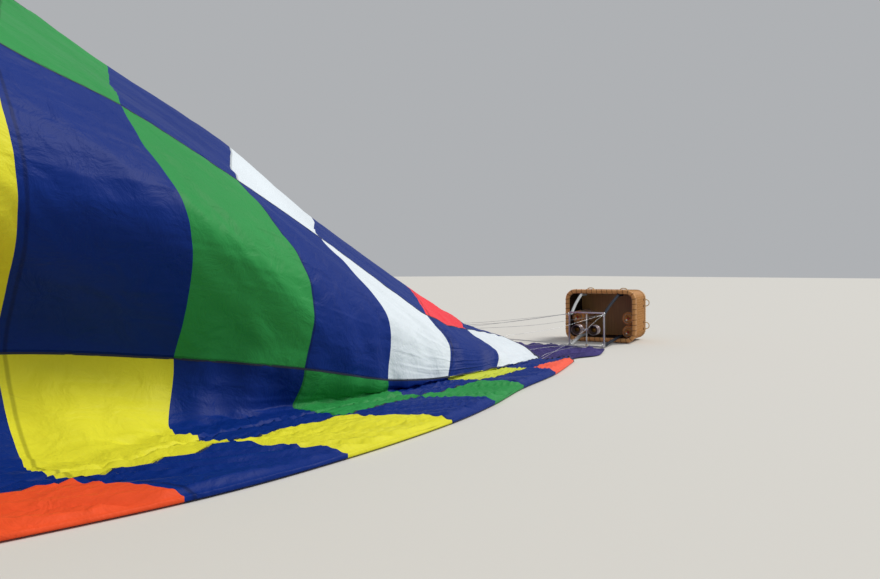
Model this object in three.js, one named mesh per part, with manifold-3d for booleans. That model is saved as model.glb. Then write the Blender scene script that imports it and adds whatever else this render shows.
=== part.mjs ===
import * as THREE from 'three';
import { mergeVertices } from 'three/addons/utils/BufferGeometryUtils.js';
import Module from 'manifold-3d';

const wasm = await Module();
wasm.setup();

// Driving dimensions in mm. +X runs from the crown to the basket, -Y is the near side, +Z is up.
const MOUTH_X = 9025.2;       // mouth of the envelope in the part frame
const FABRIC = 10;           // shell thickness of fabric
const LAYER = 26;            // height of the upper of the two layers that lie on the ground
const SEAM_GAP = 0.2;        // each gore ends this far from the seam line
const VENT_GAP = 0.5;        // between the gores and the vent inside them
const SEAT = 0.35;           // between a seated piece and what carries it
const STATIONS = [0, 1, 2, 3, 4, 5, 6, 7, 8, 9, 10, 11, 12, 13, 14, 15, 16, 16.5, 17];

const BASKET_AT = [2960, -790];   // middle of the basket's opening, from the mouth
const BASKET_TURN = 29;           // turn of the basket about Z in degrees
const BASKET_WIDE = 1550;         // outside of the wicker across
const BASKET_TALL = 1122;         // outside of the wicker, upward as it lies
const BASKET_DEEP = 1120;         // from the opening to the bottom edge
const BASKET_LIFT = 28;           // the rim padding stands out this far
const WALL = 35;                  // thickness of the wicker
const CORNER = 200;               // outer corner radius
const RIM = 45;                   // radius of the rim padding
const FLOOR = 24;                 // thickness of the floor board
const BAND = 6;                   // thickness of the leather band at the bottom edge
const FRAME_X = -1280;            // burner frame in front of the opening
const FRAME_Y = -40;
const FRAME_WIDE = 770;
const FRAME_TALL = 740;
const FRAME_BAR = 30;
const CAN_RADIUS = 100;
const CAN_FROM = -170;
const CAN_TO = 110;
const CAN_Y = 178;
const TANK_RADIUS = 152;
const TANK_LONG = 930;            // fuel cylinder with its guard ring

// Envelope sections by row line, counted from the mouth. Each point is [station, half width, height]:
// top, upper gore, seam, side, seam, crease at the ground, seam on the ground, fold, bottom.
const SECTIONS = [
  [0, [550, 0, 420], [550, 1040, 410], [720, 1870, 370], [600, 2380, 220],
    [660, 2860, 50], [550, 2950, 0], [50, 2940, 0], [40, 3010, 0], [300, 0, 0]],
  [1, [1950, 0, 1010], [1720, 1680, 800], [1990, 2600, 640], [1770, 3060, 370],
    [2000, 3400, 90], [1880, 3330, 0], [1400, 3500, 0], [1280, 3900, 0], [1600, 0, 0]],
  [2, [3050, 0, 1800], [2930, 2130, 1390], [3200, 3300, 930], [3060, 3600, 530],
    [3220, 3860, 120], [3150, 3800, 0], [2840, 4110, 0], [2530, 4610, 0], [2900, 0, 0]],
  [3, [4350, 0, 2750], [4560, 1940, 2490], [4880, 3300, 2020], [4340, 4060, 1040],
    [4370, 4260, 230], [4385, 4224, 0], [4150, 4640, 0], [3560, 5300, 0], [4200, 0, 0]],
  [4, [5710, 0, 3490], [5820, 1950, 3430], [6130, 3700, 2670], [5620, 4550, 1630],
    [5655, 4620, 510], [5816, 4600, 0], [5460, 5180, 0], [4580, 5865, 0], [5500, 0, 0]],
  [5, [7000, 0, 4450], [7300, 1990, 4250], [7400, 4190, 3250], [6960, 5030, 2070],
    [6920, 4450, 690], [7121, 4955, 20], [6690, 5585, 0], [6000, 6450, 0], [6900, 0, 0]],
  [6, [8300, 0, 5220], [8500, 2100, 4950], [8560, 4690, 3620], [8390, 5470, 2310],
    [8470, 4500, 860], [8350, 5650, 20], [8000, 6115, 0], [7440, 6850, 0], [8300, 0, 0]],
  [8, [11000, 0, 6550], [11150, 2750, 6300], [11250, 5550, 4950], [11200, 6950, 3000],
    [11300, 6150, 1050], [11300, 6080, 20], [11150, 6450, 0], [10600, 7200, 0], [11100, 0, 0]],
  [10, [13750, 0, 7350], [13850, 3000, 7100], [13950, 6150, 5650], [14000, 7850, 3400],
    [14150, 7200, 1200], [14230, 6500, 0], [14200, 7050, 0], [13700, 8150, 0], [14100, 0, 0]],
  [12, [16450, 0, 7200], [16550, 2950, 6950], [16700, 6050, 5500], [16850, 7700, 3350],
    [17050, 7200, 1200], [17200, 6500, 0], [17200, 7000, 0], [16950, 8100, 0], [17100, 0, 0]],
  [14, [18950, 0, 6150], [19050, 2450, 5920], [19200, 4950, 4750], [19450, 6200, 3000],
    [19750, 5950, 1150], [20000, 5450, 160], [20200, 5700, 0], [20250, 5900, 0], [20200, 0, 0]],
  [16, [20750, 0, 4450], [20800, 1500, 4300], [20950, 3000, 3550], [21200, 3750, 2450],
    [21500, 3650, 1150], [21650, 3050, 550], [21750, 2600, 330], [21800, 2000, 220], [21850, 0, 120]],
  [17, [21250, 0, 3500], [21300, 1020, 3380], [21400, 2000, 2900], [21550, 2450, 2150],
    [21750, 2250, 1300], [21850, 1800, 950], [21920, 1250, 750], [21950, 750, 660], [21980, 0, 610]],
];
const APEX = [22350, 0, 2150];
const FLAP_ROWS = 14;             // rows with cloth laid flat beside the dome
const FLAP_END = 60;              // how far the bottom edge stays out one row behind the flap
const FOLD_ROUND = 30;            // rounding of the bottom edge behind the flap's end

const GORE_WIDTHS = [0.95, 1.38, 1.81, 2.24, 2.67, 3.1, 3.52, 3.85, 4.1, 4.3, 4.4, 4.35, 4.15, 3.8, 3.3,
  2.7, 2.0, 1.25];

const group = new THREE.Group();
group.name = 'hot_air_balloon';

const COLOURS = {
  navy: 0x14307c, panel: 0x3f9a5c, skirt: 0x3c3a78, steel: 0xc9ccd0, wicker: 0xb07a3c, leather: 0xc58a4a,
  pad: 0x9aa0a8, dark_pad: 0x38414e, board: 0x9a7648, rope: 0xcdbb90, jacket: 0xb5703a, alloy: 0xb8bcc2,
};

// One mesh from a geometry
function put(name, geometry, colour, matrix) {
  const g = geometry.index ? geometry : mergeVertices(geometry);
  if (matrix) g.applyMatrix4(matrix);
  const mesh = new THREE.Mesh(g, new THREE.MeshStandardMaterial({ color: COLOURS[colour], name: colour }));
  mesh.name = name;
  group.add(mesh);
  return mesh;
}

function geometryOf(points, faces) {
  const g = new THREE.BufferGeometry();
  g.setAttribute('position', new THREE.Float32BufferAttribute(points.flat(), 3));
  g.setIndex(faces.flat());
  return g;
}

function solidOf(geometry) {
  const g = geometry.clone();
  g.deleteAttribute('normal');
  g.deleteAttribute('uv');
  const m = mergeVertices(g, 1e-3);
  return new wasm.Manifold(new wasm.Mesh({
    numProp: 3,
    vertProperties: new Float32Array(m.attributes.position.array),
    triVerts: new Uint32Array(m.index.array),
  }));
}

function fuse(list) {
  const solids = list.map(solidOf);
  const joined = solids.reduce((a, b) => a.add(b)).getMesh();
  const g = new THREE.BufferGeometry();
  g.setAttribute('position', new THREE.BufferAttribute(new Float32Array(joined.vertProperties), 3));
  g.setIndex([...joined.triVerts]);
  return g;
}

// Envelope grid
const lerp = (a, b, t) => a.map((v, i) => v + (b[i] - v) * t);

function spline(points, t) {
  const n = points.length - 1;
  const i = Math.min(Math.floor(t), n - 1);
  const u = t - i;
  const p = [points[Math.max(i - 1, 0)], points[i], points[i + 1], points[Math.min(i + 2, n)]];
  return p[0].map((_, k) => {
    const [a, b, c, d] = p.map((q) => q[k]);
    return 0.5 * (2 * b + (c - a) * u + (2 * a - 5 * b + 4 * c - d) * u * u
      + (3 * b - a - 3 * c + d) * u * u * u);
  });
}

// Hermite value over unevenly spaced row lines
function alongRows(row, column) {
  const ks = SECTIONS.map((s) => s[0]);
  let i = ks.findIndex((k) => k > row) - 1;
  if (i < 0) i = ks.length - 2;
  const at = (j) => SECTIONS[Math.min(Math.max(j, 0), ks.length - 1)][column];
  const h = ks[i + 1] - ks[i];
  const u = (row - ks[i]) / h;
  const slope = (j) => {
    const a = Math.max(j - 1, 0);
    const b = Math.min(j + 1, ks.length - 1);
    return at(a).map((v, k) => (at(b)[k] - v) / (ks[b] - ks[a]));
  };
  const [m0, m1] = [slope(i), slope(i + 1)];
  return at(i).map((v, k) => v * (1 + 2 * u) * (1 - u) ** 2 + m0[k] * h * u * (1 - u) ** 2
    + at(i + 1)[k] * u * u * (3 - 2 * u) + m1[k] * h * u * u * (u - 1));
}

function dense(points, from, to, step) {
  const out = [];
  for (let t = from; t <= to + 1e-9; t += step) out.push(spline(points, Math.min(t, to)));
  return out;
}

function spread(line, count) {
  const run = [0];
  for (let i = 1; i < line.length; i += 1) {
    run.push(run[i - 1] + Math.hypot(...line[i].map((v, k) => v - line[i - 1][k])));
  }
  const out = [];
  for (let j = 0; j <= count; j += 1) {
    const want = (run[run.length - 1] * j) / count;
    let i = run.findIndex((v) => v >= want - 1e-9);
    if (i < 1) i = 1;
    out.push(lerp(line[i - 1], line[i], (want - run[i - 1]) / Math.max(run[i] - run[i - 1], 1e-9)));
  }
  return out;
}

// Half a section from the top middle to the bottom middle; the marks give the seams
const PARTS = [['top', 2], ['upper', 4], ['side', 6], ['low', 7], ['lap', 2], ['turn', 3], ['under', 2],
  ['bottom', 3], ['floor', 1]];

const vector = (p) => new THREE.Vector3(...p);

function halfSection(row) {
  const [top, upper, seamA, side, seamB, crease, seamC, fold, middle] = [1, 2, 3, 4, 5, 6, 7, 8, 9]
    .map((c) => alongRows(row, c));
  const flat = (p, high) => [p[0], p[1], Math.max(p[2], high)];
  const lift = LAYER;
  const dome = [[upper[0], -upper[1], upper[2]], top, upper, seamA, side, flat(seamB, lift + 20),
    flat(crease, lift), flat(seamC, lift), flat(fold, lift)];
  const third = spread(dense(dome, 1, 3, 0.05), 3)[1];
  const lines = dense(dome, 1, 3, 0.05);
  const cut = lines.findIndex((p) => p[1] > third[1]);
  const out = {};
  out.top = spread([...lines.slice(0, cut), third], 2);
  out.upper = spread([third, ...lines.slice(cut)], 4);
  out.side = spread(dense(dome, 3, 5, 0.05), 6);
  out.low = spread(dense(dome, 5, 7, 0.05), 7).map((p) => flat(p, lift));
  const r = lift / 2;
  const rise = Math.max(flat(fold, lift)[2] - lift, 0);
  const lowest = [middle[0], 0, Math.max(middle[2], 0)];
  const edge = vector(flat(fold, lift));
  const inward = Math.hypot(edge.y, edge.z - lowest[2]);
  const edgeWay = vector(alongRows(row + 0.1, 8));
  edgeWay.sub(vector(alongRows(Math.max(row - 0.1, 0), 8))).normalize();
  const outward2 = new THREE.Vector3(-edgeWay.y, edgeWay.x, 0).normalize();
  if (row > FLAP_ROWS && row < 16) edge.addScaledVector(outward2, FLAP_END);
  const away = (p) => vector(p).sub(edge).projectOnPlane(edgeWay).setLength(FOLD_ROUND).add(edge);
  const [above, below] = [away(flat(seamC, lift)), away(lowest)];
  out.turn = [0, 1, 2, 3].map((i) => {
    if (row > 16) return lerp(edge.toArray(), lowest, (15 * i) / inward);
    if (row > FLAP_ROWS) return new THREE.QuadraticBezierCurve3(above, edge, below).getPoint(i / 3).toArray();
    const w = (i * Math.PI) / 3;
    const p = vector(fold).addScaledVector(outward2, r * Math.sin(w));
    return [p.x, p.y, rise + r + r * Math.cos(w)];
  });
  if (row <= FLAP_ROWS) out.turn[0] = edge.toArray();
  out.lap = spread([flat(seamC, lift), out.turn[0]], 2);
  const foot = out.turn[3];
  const wide = GORE_WIDTHS[Math.round(row)] * 1000;
  const lap = Math.hypot(seamC[0] - fold[0], seamC[1] - fold[1]);
  const parts = [Math.max(wide - lap, 0.3 * wide), wide, wide / 2];
  const sum = parts[0] + parts[1] + parts[2];
  const bow = (t) => {
    const p = lerp(foot, lowest, t);
    p[2] = lowest[2] + (foot[2] - lowest[2]) * (1 - t) ** 2;
    return p;
  };
  const [f1, f2] = [parts[0] / sum, (parts[0] + parts[1]) / sum];
  out.under = [0, 0.5, 1].map((t) => bow(t * f1));
  out.bottom = [0, 1, 2, 3].map((i) => bow(f1 + ((f2 - f1) * i) / 3));
  out.floor = [bow(f2), bow(1)];
  return out;
}

// All points of one section, near side first, as a closed loop
const MARKS = {};
function loopOf(row) {
  const half = halfSection(row);
  const near = [half.top[0]];
  MARKS.top = 0;
  for (const [name, count] of PARTS) {
    for (let i = 1; i <= count; i += 1) near.push(half[name][i]);
    MARKS[`${name}_end`] = near.length - 1;
  }
  const last = near.length - 1;
  const loop = near.map((p) => [MOUTH_X - p[0], -p[1], p[2]]);
  for (let i = last - 1; i > 0; i -= 1) loop.push([MOUTH_X - near[i][0], near[i][1], near[i][2]]);
  return loop;
}

const grid = STATIONS.map(loopOf);
const AROUND = grid[0].length;
const wrap = (j) => (j + AROUND) % AROUND;

const normals = grid.map((loop, i) => loop.map((_, j) => {
  const before = grid[Math.max(i - 1, 0)][j];
  const after = grid[Math.min(i + 1, grid.length - 1)][j];
  const along = new THREE.Vector3().subVectors(new THREE.Vector3(...after), new THREE.Vector3(...before));
  const across = new THREE.Vector3().subVectors(
    new THREE.Vector3(...loop[wrap(j + 1)]),
    new THREE.Vector3(...loop[wrap(j - 1)]),
  );
  return new THREE.Vector3().crossVectors(along, across).normalize();
}));

const moved = (i, j, depth) => {
  const p = grid[i][wrap(j)];
  const n = normals[i][wrap(j)];
  return [p[0] - n.x * depth, p[1] - n.y * depth, p[2] - n.z * depth];
};

// A gore is the shell between two seam lines
function gore(name, from, to, colour) {
  const count = to - from;
  const points = [];
  const faces = [];
  for (let i = 0; i < STATIONS.length; i += 1) {
    for (const depth of [0, FABRIC]) {
      for (let j = from; j <= to; j += 1) {
        let p = moved(i, j, depth);
        if (j === from || j === to) {
          const q = moved(i, j === from ? j + 1 : j - 1, depth);
          const far = Math.hypot(...q.map((v, k) => v - p[k]));
          p = lerp(p, q, SEAM_GAP / far);
        }
        points.push(p);
      }
    }
  }
  const ring = 2 * (count + 1);
  const loop = [...Array(count + 1).keys(), ...[...Array(count + 1).keys()].map((j) => ring - 1 - j)];
  const id = (i, m) => i * ring + loop[wrap2(m, ring)];
  for (let i = 0; i < STATIONS.length - 1; i += 1) {
    for (let m = 0; m < ring; m += 1) {
      const [a, b, c, d] = [id(i, m), id(i, m + 1), id(i + 1, m + 1), id(i + 1, m)];
      const mirrored = from > AROUND / 2 && i < FLAP_ROWS && m !== count && m !== ring - 1;
      if (m > count !== mirrored) faces.push([a, b, d], [b, c, d]);
      else faces.push([a, b, c], [a, c, d]);
    }
  }
  const end = STATIONS.length - 1;
  for (let j = 0; j < count; j += 1) {
    const [a, b, c, d] = [j, j + 1, count + 2 + j, count + 1 + j];
    faces.push([a, c, b], [a, d, c]);
    const o = end * ring;
    faces.push([o + a, o + b, o + c], [o + a, o + c, o + d]);
  }
  put(name, outward(geometryOf(points, faces)), colour);
}

function wrap2(m, n) {
  return (m + n) % n;
}

// Turns every face outward when the volume comes out negative
function outward(g) {
  const p = g.attributes.position.array;
  const f = g.index.array;
  let volume = 0;
  for (let i = 0; i < f.length; i += 3) {
    const [a, b, c] = [0, 1, 2].map((k) => new THREE.Vector3().fromArray(p, f[i + k] * 3));
    volume += a.dot(b.cross(c));
  }
  if (volume < 0) {
    for (let i = 0; i < f.length; i += 3) [f[i + 1], f[i + 2]] = [f[i + 2], f[i + 1]];
  }
  return g;
}

const M = MARKS;
gore('gore_top', -M.top_end, M.top_end, 'navy');
gore('gore_bottom', M.bottom_end, AROUND - M.bottom_end, 'navy');
const GORES = [
  ['upper', M.top_end, M.upper_end], ['side', M.upper_end, M.side_end], ['low', M.side_end, M.low_end],
  ['fold', M.low_end, M.under_end], ['under', M.under_end, M.bottom_end],
];
GORES.forEach(([name, from, to], i) => {
  gore(`gore_${name}_near`, from, to, i % 2 ? 'panel' : 'navy');
  gore(`gore_${name}_far`, AROUND - to, AROUND - from, i % 2 ? 'panel' : 'navy');
});

// Parachute vent: the round panel that closes the crown from inside
function shell(name, rings, apex, thick, colour) {
  const n = rings[0].length;
  const points = [];
  const faces = [];
  const top = new THREE.Vector3(...apex);
  rings.forEach((ring) => ring.forEach((p) => points.push(p)));
  points.push(apex);
  const under = points.length;
  rings.forEach((ring, i) => ring.forEach((p, j) => {
    const next = i + 1 < rings.length ? new THREE.Vector3(...rings[i + 1][j]) : top;
    const last = new THREE.Vector3(...(i ? rings[i - 1][j] : p));
    const along = new THREE.Vector3().subVectors(next, last);
    const across = new THREE.Vector3().subVectors(
      new THREE.Vector3(...ring[(j + 1) % n]),
      new THREE.Vector3(...ring[(j + n - 1) % n]),
    );
    const q = new THREE.Vector3().crossVectors(across, along).normalize().multiplyScalar(thick);
    points.push([p[0] + q.x, p[1] + q.y, p[2] + q.z]);
  }));
  points.push([apex[0] + thick, apex[1], apex[2]]);
  for (const [base, turned] of [[0, false], [under, true]]) {
    const add = (a, b, c) => faces.push(turned ? [a, c, b] : [a, b, c]);
    for (let i = 0; i < rings.length - 1; i += 1) {
      for (let j = 0; j < n; j += 1) {
        const k = (j + 1) % n;
        const [a, b] = [base + i * n + j, base + i * n + k];
        const [c, d] = [base + (i + 1) * n + k, base + (i + 1) * n + j];
        add(a, b, c);
        add(a, c, d);
      }
    }
    const o = base + (rings.length - 1) * n;
    for (let j = 0; j < n; j += 1) add(o + j, o + ((j + 1) % n), base + rings.length * n);
  }
  for (let j = 0; j < n; j += 1) {
    const k = (j + 1) % n;
    faces.push([j, under + k, k], [j, under + j, under + k]);
  }
  put(name, outward(geometryOf(points, faces)), colour);
}

const HUB = 230;   // flat middle of the vent
const last = STATIONS.length - 1;
const inner = (i) => grid[i].map((_, j) => moved(i, j, FABRIC + VENT_GAP));
const apex = [MOUTH_X - APEX[0], APEX[1], APEX[2]];
const edge = inner(last);
const rings = [inner(last - 1), edge];
for (const t of [0.3, 0.65]) {
  rings.push(edge.map((p) => {
    const q = lerp(p, apex, t);
    q[0] -= 190 * Math.sin(Math.PI * t) * (1 - t);
    return q;
  }));
}
const hub = edge.map((p) => {
  const far = Math.hypot(p[1] - apex[1], p[2] - apex[2]);
  return [apex[0], apex[1] + ((p[1] - apex[1]) * HUB) / far, apex[2] + ((p[2] - apex[2]) * HUB) / far];
});
shell('parachute_vent', [...rings, hub], apex, FABRIC, 'navy');

// Crown ring outside the vent
const crown = new THREE.TorusGeometry(150, 10, 8, 24);
crown.rotateY(Math.PI / 2);
crown.translate(apex[0] - 10 - SEAT, apex[1], apex[2]);
put('crown_ring', mergeVertices(crown.deleteAttribute('uv').deleteAttribute('normal')), 'alloy');

// Skirt spread on the ground from the mouth to the burner frame, rows [near, ..., far]
const SKIRT = [
  [[-800, -2250], [-800, -1000], [-800, 1000], [-800, 2250]],
  [[-350, -2500], [-350, -1000], [-350, 1000], [-350, 2500]],
  [[20, -2750], [20, -1000], [20, 1000], [20, 2750]],
  [[450, -2650], [450, -1050], [420, 1000], [300, 2700]],
  [[1080, -2560], [900, -1100], [700, 1000], [450, 2650]],
  [[1940, -1880], [1575, -1190], [940, 0], [600, 2600]],
];
const skirtAcross = 14;
const skirtRows = SKIRT.map((row) => spread(dense(row.map((p) => [...p, 0]), 0, 3, 0.1), skirtAcross));
const skirtPoints = [];
for (const level of [0, 1]) {
  skirtRows.forEach((row, i) => row.forEach(([x, y], j) => {
    const edgeFade = Math.sin((Math.PI * j) / skirtAcross);
    const wave = i > 2 ? 25 * Math.sin(j * 1.9 + i * 1.3) ** 2 * edgeFade : 0;
    const rest = i > 2 ? 0 : FABRIC + SEAT;
    skirtPoints.push([MOUTH_X + x, y, rest + wave + level * FABRIC]);
  }));
}
const skirtFaces = [];
const sw = skirtAcross + 1;
const sn = skirtRows.length * sw;
for (let i = 0; i < skirtRows.length - 1; i += 1) {
  for (let j = 0; j < skirtAcross; j += 1) {
    const [a, b, c, d] = [i * sw + j, i * sw + j + 1, (i + 1) * sw + j + 1, (i + 1) * sw + j];
    skirtFaces.push([a, b, c], [a, c, d], [sn + a, sn + c, sn + b], [sn + a, sn + d, sn + c]);
  }
}
const skirtRim = [];
for (let j = 0; j < skirtAcross; j += 1) skirtRim.push([j + 1, j]);
for (let i = 0; i < skirtRows.length - 1; i += 1) skirtRim.push([i * sw, (i + 1) * sw]);
for (let j = 0; j < skirtAcross; j += 1) {
  const o = (skirtRows.length - 1) * sw;
  skirtRim.push([o + j, o + j + 1]);
}
for (let i = skirtRows.length - 1; i > 0; i -= 1) {
  skirtRim.push([i * sw + skirtAcross, (i - 1) * sw + skirtAcross]);
}
skirtRim.forEach(([a, b]) => skirtFaces.push([a, b, sn + b], [a, sn + b, sn + a]));
put('skirt', outward(geometryOf(skirtPoints, skirtFaces)), 'skirt');

// Basket frame: x from the opening to the bottom, y across, z up
const turn = (BASKET_TURN * Math.PI) / 180;
const basket = new THREE.Matrix4().makeRotationZ(turn)
  .setPosition(MOUTH_X + BASKET_AT[0], BASKET_AT[1], 0);
const toPart = (p) => new THREE.Vector3(...p).applyMatrix4(basket);
const MIDDLE_Z = BASKET_LIFT + BASKET_TALL / 2;

// Rounded rectangle as points [y, z, outward y, outward z], seen along x
function rounded(wide, tall, radius, steps) {
  const out = [];
  const corners = [[1, 1, 0], [-1, 1, 90], [-1, -1, 180], [1, -1, 270]];
  for (const [sy, sz, start] of corners) {
    for (let i = 0; i <= steps; i += 1) {
      const a = ((start + (90 * i) / steps) * Math.PI) / 180;
      out.push([
        sy * (wide / 2 - radius) + radius * Math.cos(a), sz * (tall / 2 - radius) + radius * Math.sin(a),
        Math.cos(a), Math.sin(a),
      ]);
    }
  }
  return out;
}

// A band with profile [outward, x] carried round a rounded rectangle
function band(path, profile) {
  const points = [];
  const faces = [];
  const [n, m] = [path.length, profile.length];
  for (const [y, z, ny, nz] of path) {
    for (const [a, x] of profile) points.push([x, y + ny * a, MIDDLE_Z + z + nz * a]);
  }
  for (let i = 0; i < n; i += 1) {
    for (let j = 0; j < m; j += 1) {
      const [i2, j2] = [(i + 1) % n, (j + 1) % m];
      const [a, b, c, d] = [i * m + j, i * m + j2, i2 * m + j2, i2 * m + j];
      faces.push([a, b, c], [a, c, d]);
    }
  }
  return outward(geometryOf(points, faces));
}

// A plate with the outline of a rounded rectangle between two x planes
function plate(path, x0, x1) {
  const n = path.length;
  const points = [];
  const faces = [];
  for (const x of [x0, x1]) path.forEach(([y, z]) => points.push([x, y, MIDDLE_Z + z]));
  for (let i = 0; i < n; i += 1) {
    const k = (i + 1) % n;
    faces.push([i, k, n + k], [i, n + k, n + i]);
    if (i > 0 && i < n - 1) faces.push([0, i + 1, i], [n, n + i, n + i + 1]);
  }
  return outward(geometryOf(points, faces));
}

// Basket walls, rim padding, floor and base band
const wicker = rounded(BASKET_WIDE, BASKET_TALL, CORNER, 5);
const wallProfile = [[0, 0], [0, BASKET_DEEP], [-WALL, BASKET_DEEP], [-WALL, 0]];
put('basket_walls', band(wicker, wallProfile), 'wicker', basket);
const rimProfile = [];
const rimX = -0.3 - RIM * Math.cos((40 * Math.PI) / 180);
for (let i = 0; i < 10; i += 1) {
  const a = ((40 + (280 * i) / 9) * Math.PI) / 180;
  rimProfile.push([-WALL / 2 + RIM * Math.sin(a), rimX + RIM * Math.cos(a)]);
}
put('rim_padding', band(wicker, rimProfile), 'leather', basket);
const [floorWide, floorTall] = [BASKET_WIDE - 2 * WALL - 0.6, BASKET_TALL - 2 * WALL - 0.6];
const floorPath = rounded(floorWide, floorTall, CORNER - WALL - 0.3, 5);
put('basket_floor', plate(floorPath, BASKET_DEEP - FLOOR - 20, BASKET_DEEP - 20), 'board', basket);
const bandProfile = [[0.3, BASKET_DEEP - 110], [BAND, BASKET_DEEP - 110], [BAND, BASKET_DEEP + 2],
  [0.3, BASKET_DEEP + 2]];
put('base_band', band(wicker, bandProfile), 'leather', basket);

function box(x0, x1, y0, y1, z0, z1) {
  const g = new THREE.BoxGeometry(x1 - x0, y1 - y0, z1 - z0);
  g.translate((x0 + x1) / 2, (y0 + y1) / 2, (z0 + z1) / 2);
  g.deleteAttribute('uv');
  g.deleteAttribute('normal');
  return mergeVertices(g);
}

// Wooden skids under the floor
const skidX = BASKET_DEEP - 19.7;
[-1, 0, 1].forEach((s, i) => {
  const z = MIDDLE_Z + s * 340;
  put(`skid_${i + 1}`, box(skidX, skidX + 48, -600, 600, z - 32, z + 32), 'board', basket);
});

// A round bar along a smooth line
function bar(points, radius, sides, steps) {
  const shape = new THREE.Shape();
  for (let i = 0; i < sides; i += 1) {
    const a = (2 * Math.PI * i) / sides;
    const [x, y] = [radius * Math.cos(a), radius * Math.sin(a)];
    if (i) shape.lineTo(x, y);
    else shape.moveTo(x, y);
  }
  shape.closePath();
  const path = new THREE.CatmullRomCurve3(points.map((p) => new THREE.Vector3(...p)), false, 'centripetal');
  const g = new THREE.ExtrudeGeometry(shape, { steps, extrudePath: path, bevelEnabled: false });
  g.deleteAttribute('uv');
  g.deleteAttribute('normal');
  return outward(mergeVertices(g, 1e-2));
}

// Rope handles: two on top, two on each short side
const half = BASKET_WIDE / 2;
const topZ = BASKET_LIFT + BASKET_TALL;
const HANDLES = [
  ['handle_top_1', [110, 255, topZ], [0, 1, 0], [0, 0, 1]],
  ['handle_top_2', [110, -495, topZ], [0, 1, 0], [0, 0, 1]],
  ['handle_near_1', [900, -half, 860], [0, 0, 1], [0, -1, 0]],
  ['handle_near_2', [900, -half, 330], [0, 0, 1], [0, -1, 0]],
  ['handle_far_1', [900, half, 860], [0, 0, 1], [0, 1, 0]],
  ['handle_far_2', [900, half, 330], [0, 0, 1], [0, 1, 0]],
];
for (const [name, at, along, out] of HANDLES) {
  const reach = name.includes('top') ? 62 : 125;
  const loop = [[-75, 0.7], [-75, 20], [-74, 0.5 * reach], [-45, 0.9 * reach], [0, reach],
    [45, 0.9 * reach], [74, 0.5 * reach], [75, 20], [75, 0.7]];
  const line = loop.map(([run, rise]) => at.map((v, k) => v + along[k] * run + out[k] * rise));
  put(name, bar(line, 10, 7, 18), 'rope', basket);
}

// Fuel cylinders along both short sides
const neck = TANK_LONG - 64;
const tankProfile = [[0, 0], [90, 0], [TANK_RADIUS - 12, 22], [TANK_RADIUS, 60], [TANK_RADIUS, neck - 66],
  [TANK_RADIUS - 14, neck - 26], [100, neck], [100, TANK_LONG], [92, TANK_LONG], [92, neck + 4],
  [40, neck + 10], [34, neck + 44], [0, neck + 44]];
const tankZ = BASKET_LIFT + CORNER - 7;
const tankY = BASKET_WIDE / 2 - CORNER + 7;
const tankX = BASKET_DEEP - FLOOR - 20 - 0.3;
[[1, -1, 0], [2, -1, 1], [3, 1, 0], [4, 1, 1]].forEach(([n, side, level]) => {
  const g = new THREE.LatheGeometry(tankProfile.map((p) => new THREE.Vector2(...p)), 20);
  g.rotateZ(Math.PI / 2);
  g.translate(tankX, side * tankY, tankZ + level * (2 * TANK_RADIUS + 0.4));
  g.deleteAttribute('uv');
  g.deleteAttribute('normal');
  put(`fuel_cylinder_${n}`, outward(mergeVertices(g, 1e-2)), 'jacket', basket);
});

// Burner frame of square tube, standing on its lower bar
const [fy, fz] = [FRAME_WIDE / 2, FRAME_TALL];
const b = FRAME_BAR / 2;
const frameBars = [
  box(FRAME_X - b, FRAME_X + b, FRAME_Y - fy, FRAME_Y + fy, 0, 2 * b),
  box(FRAME_X - b, FRAME_X + b, FRAME_Y - fy, FRAME_Y + fy, fz - 2 * b, fz),
  box(FRAME_X - b, FRAME_X + b, FRAME_Y - fy, FRAME_Y - fy + 2 * b, 0, fz),
  box(FRAME_X - b, FRAME_X + b, FRAME_Y + fy - 2 * b, FRAME_Y + fy, 0, fz),
];
for (const sy of [-1, 1]) {
  for (const sz of [0, 1]) {
    const [y, z] = [FRAME_Y + sy * (fy - b), sz ? fz - 2 * b - 22 : 2 * b + 22];
    frameBars.push(box(FRAME_X - b - 34, FRAME_X - b + 2, y - 5, y + 5, z - 22, z + 22));
  }
}
put('burner_frame', fuse(frameBars), 'steel', basket);

// Gimbal bar between the lower and upper bars, with the cross pin that carries the burners
const midZ = FRAME_TALL / 2;
const pinReach = 37.6;
const frameMiddle = [FRAME_X, FRAME_Y, midZ];
const gimbal = fuse([
  bar([[FRAME_X, FRAME_Y, 2 * b + 0.4], frameMiddle, [FRAME_X, FRAME_Y, fz - 2 * b - 0.4]], 13, 12, 2),
  bar([[FRAME_X, FRAME_Y - pinReach, midZ], frameMiddle, [FRAME_X, FRAME_Y + pinReach, midZ]], 9, 10, 2),
]);
put('gimbal_bar', gimbal, 'steel', basket);

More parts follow.
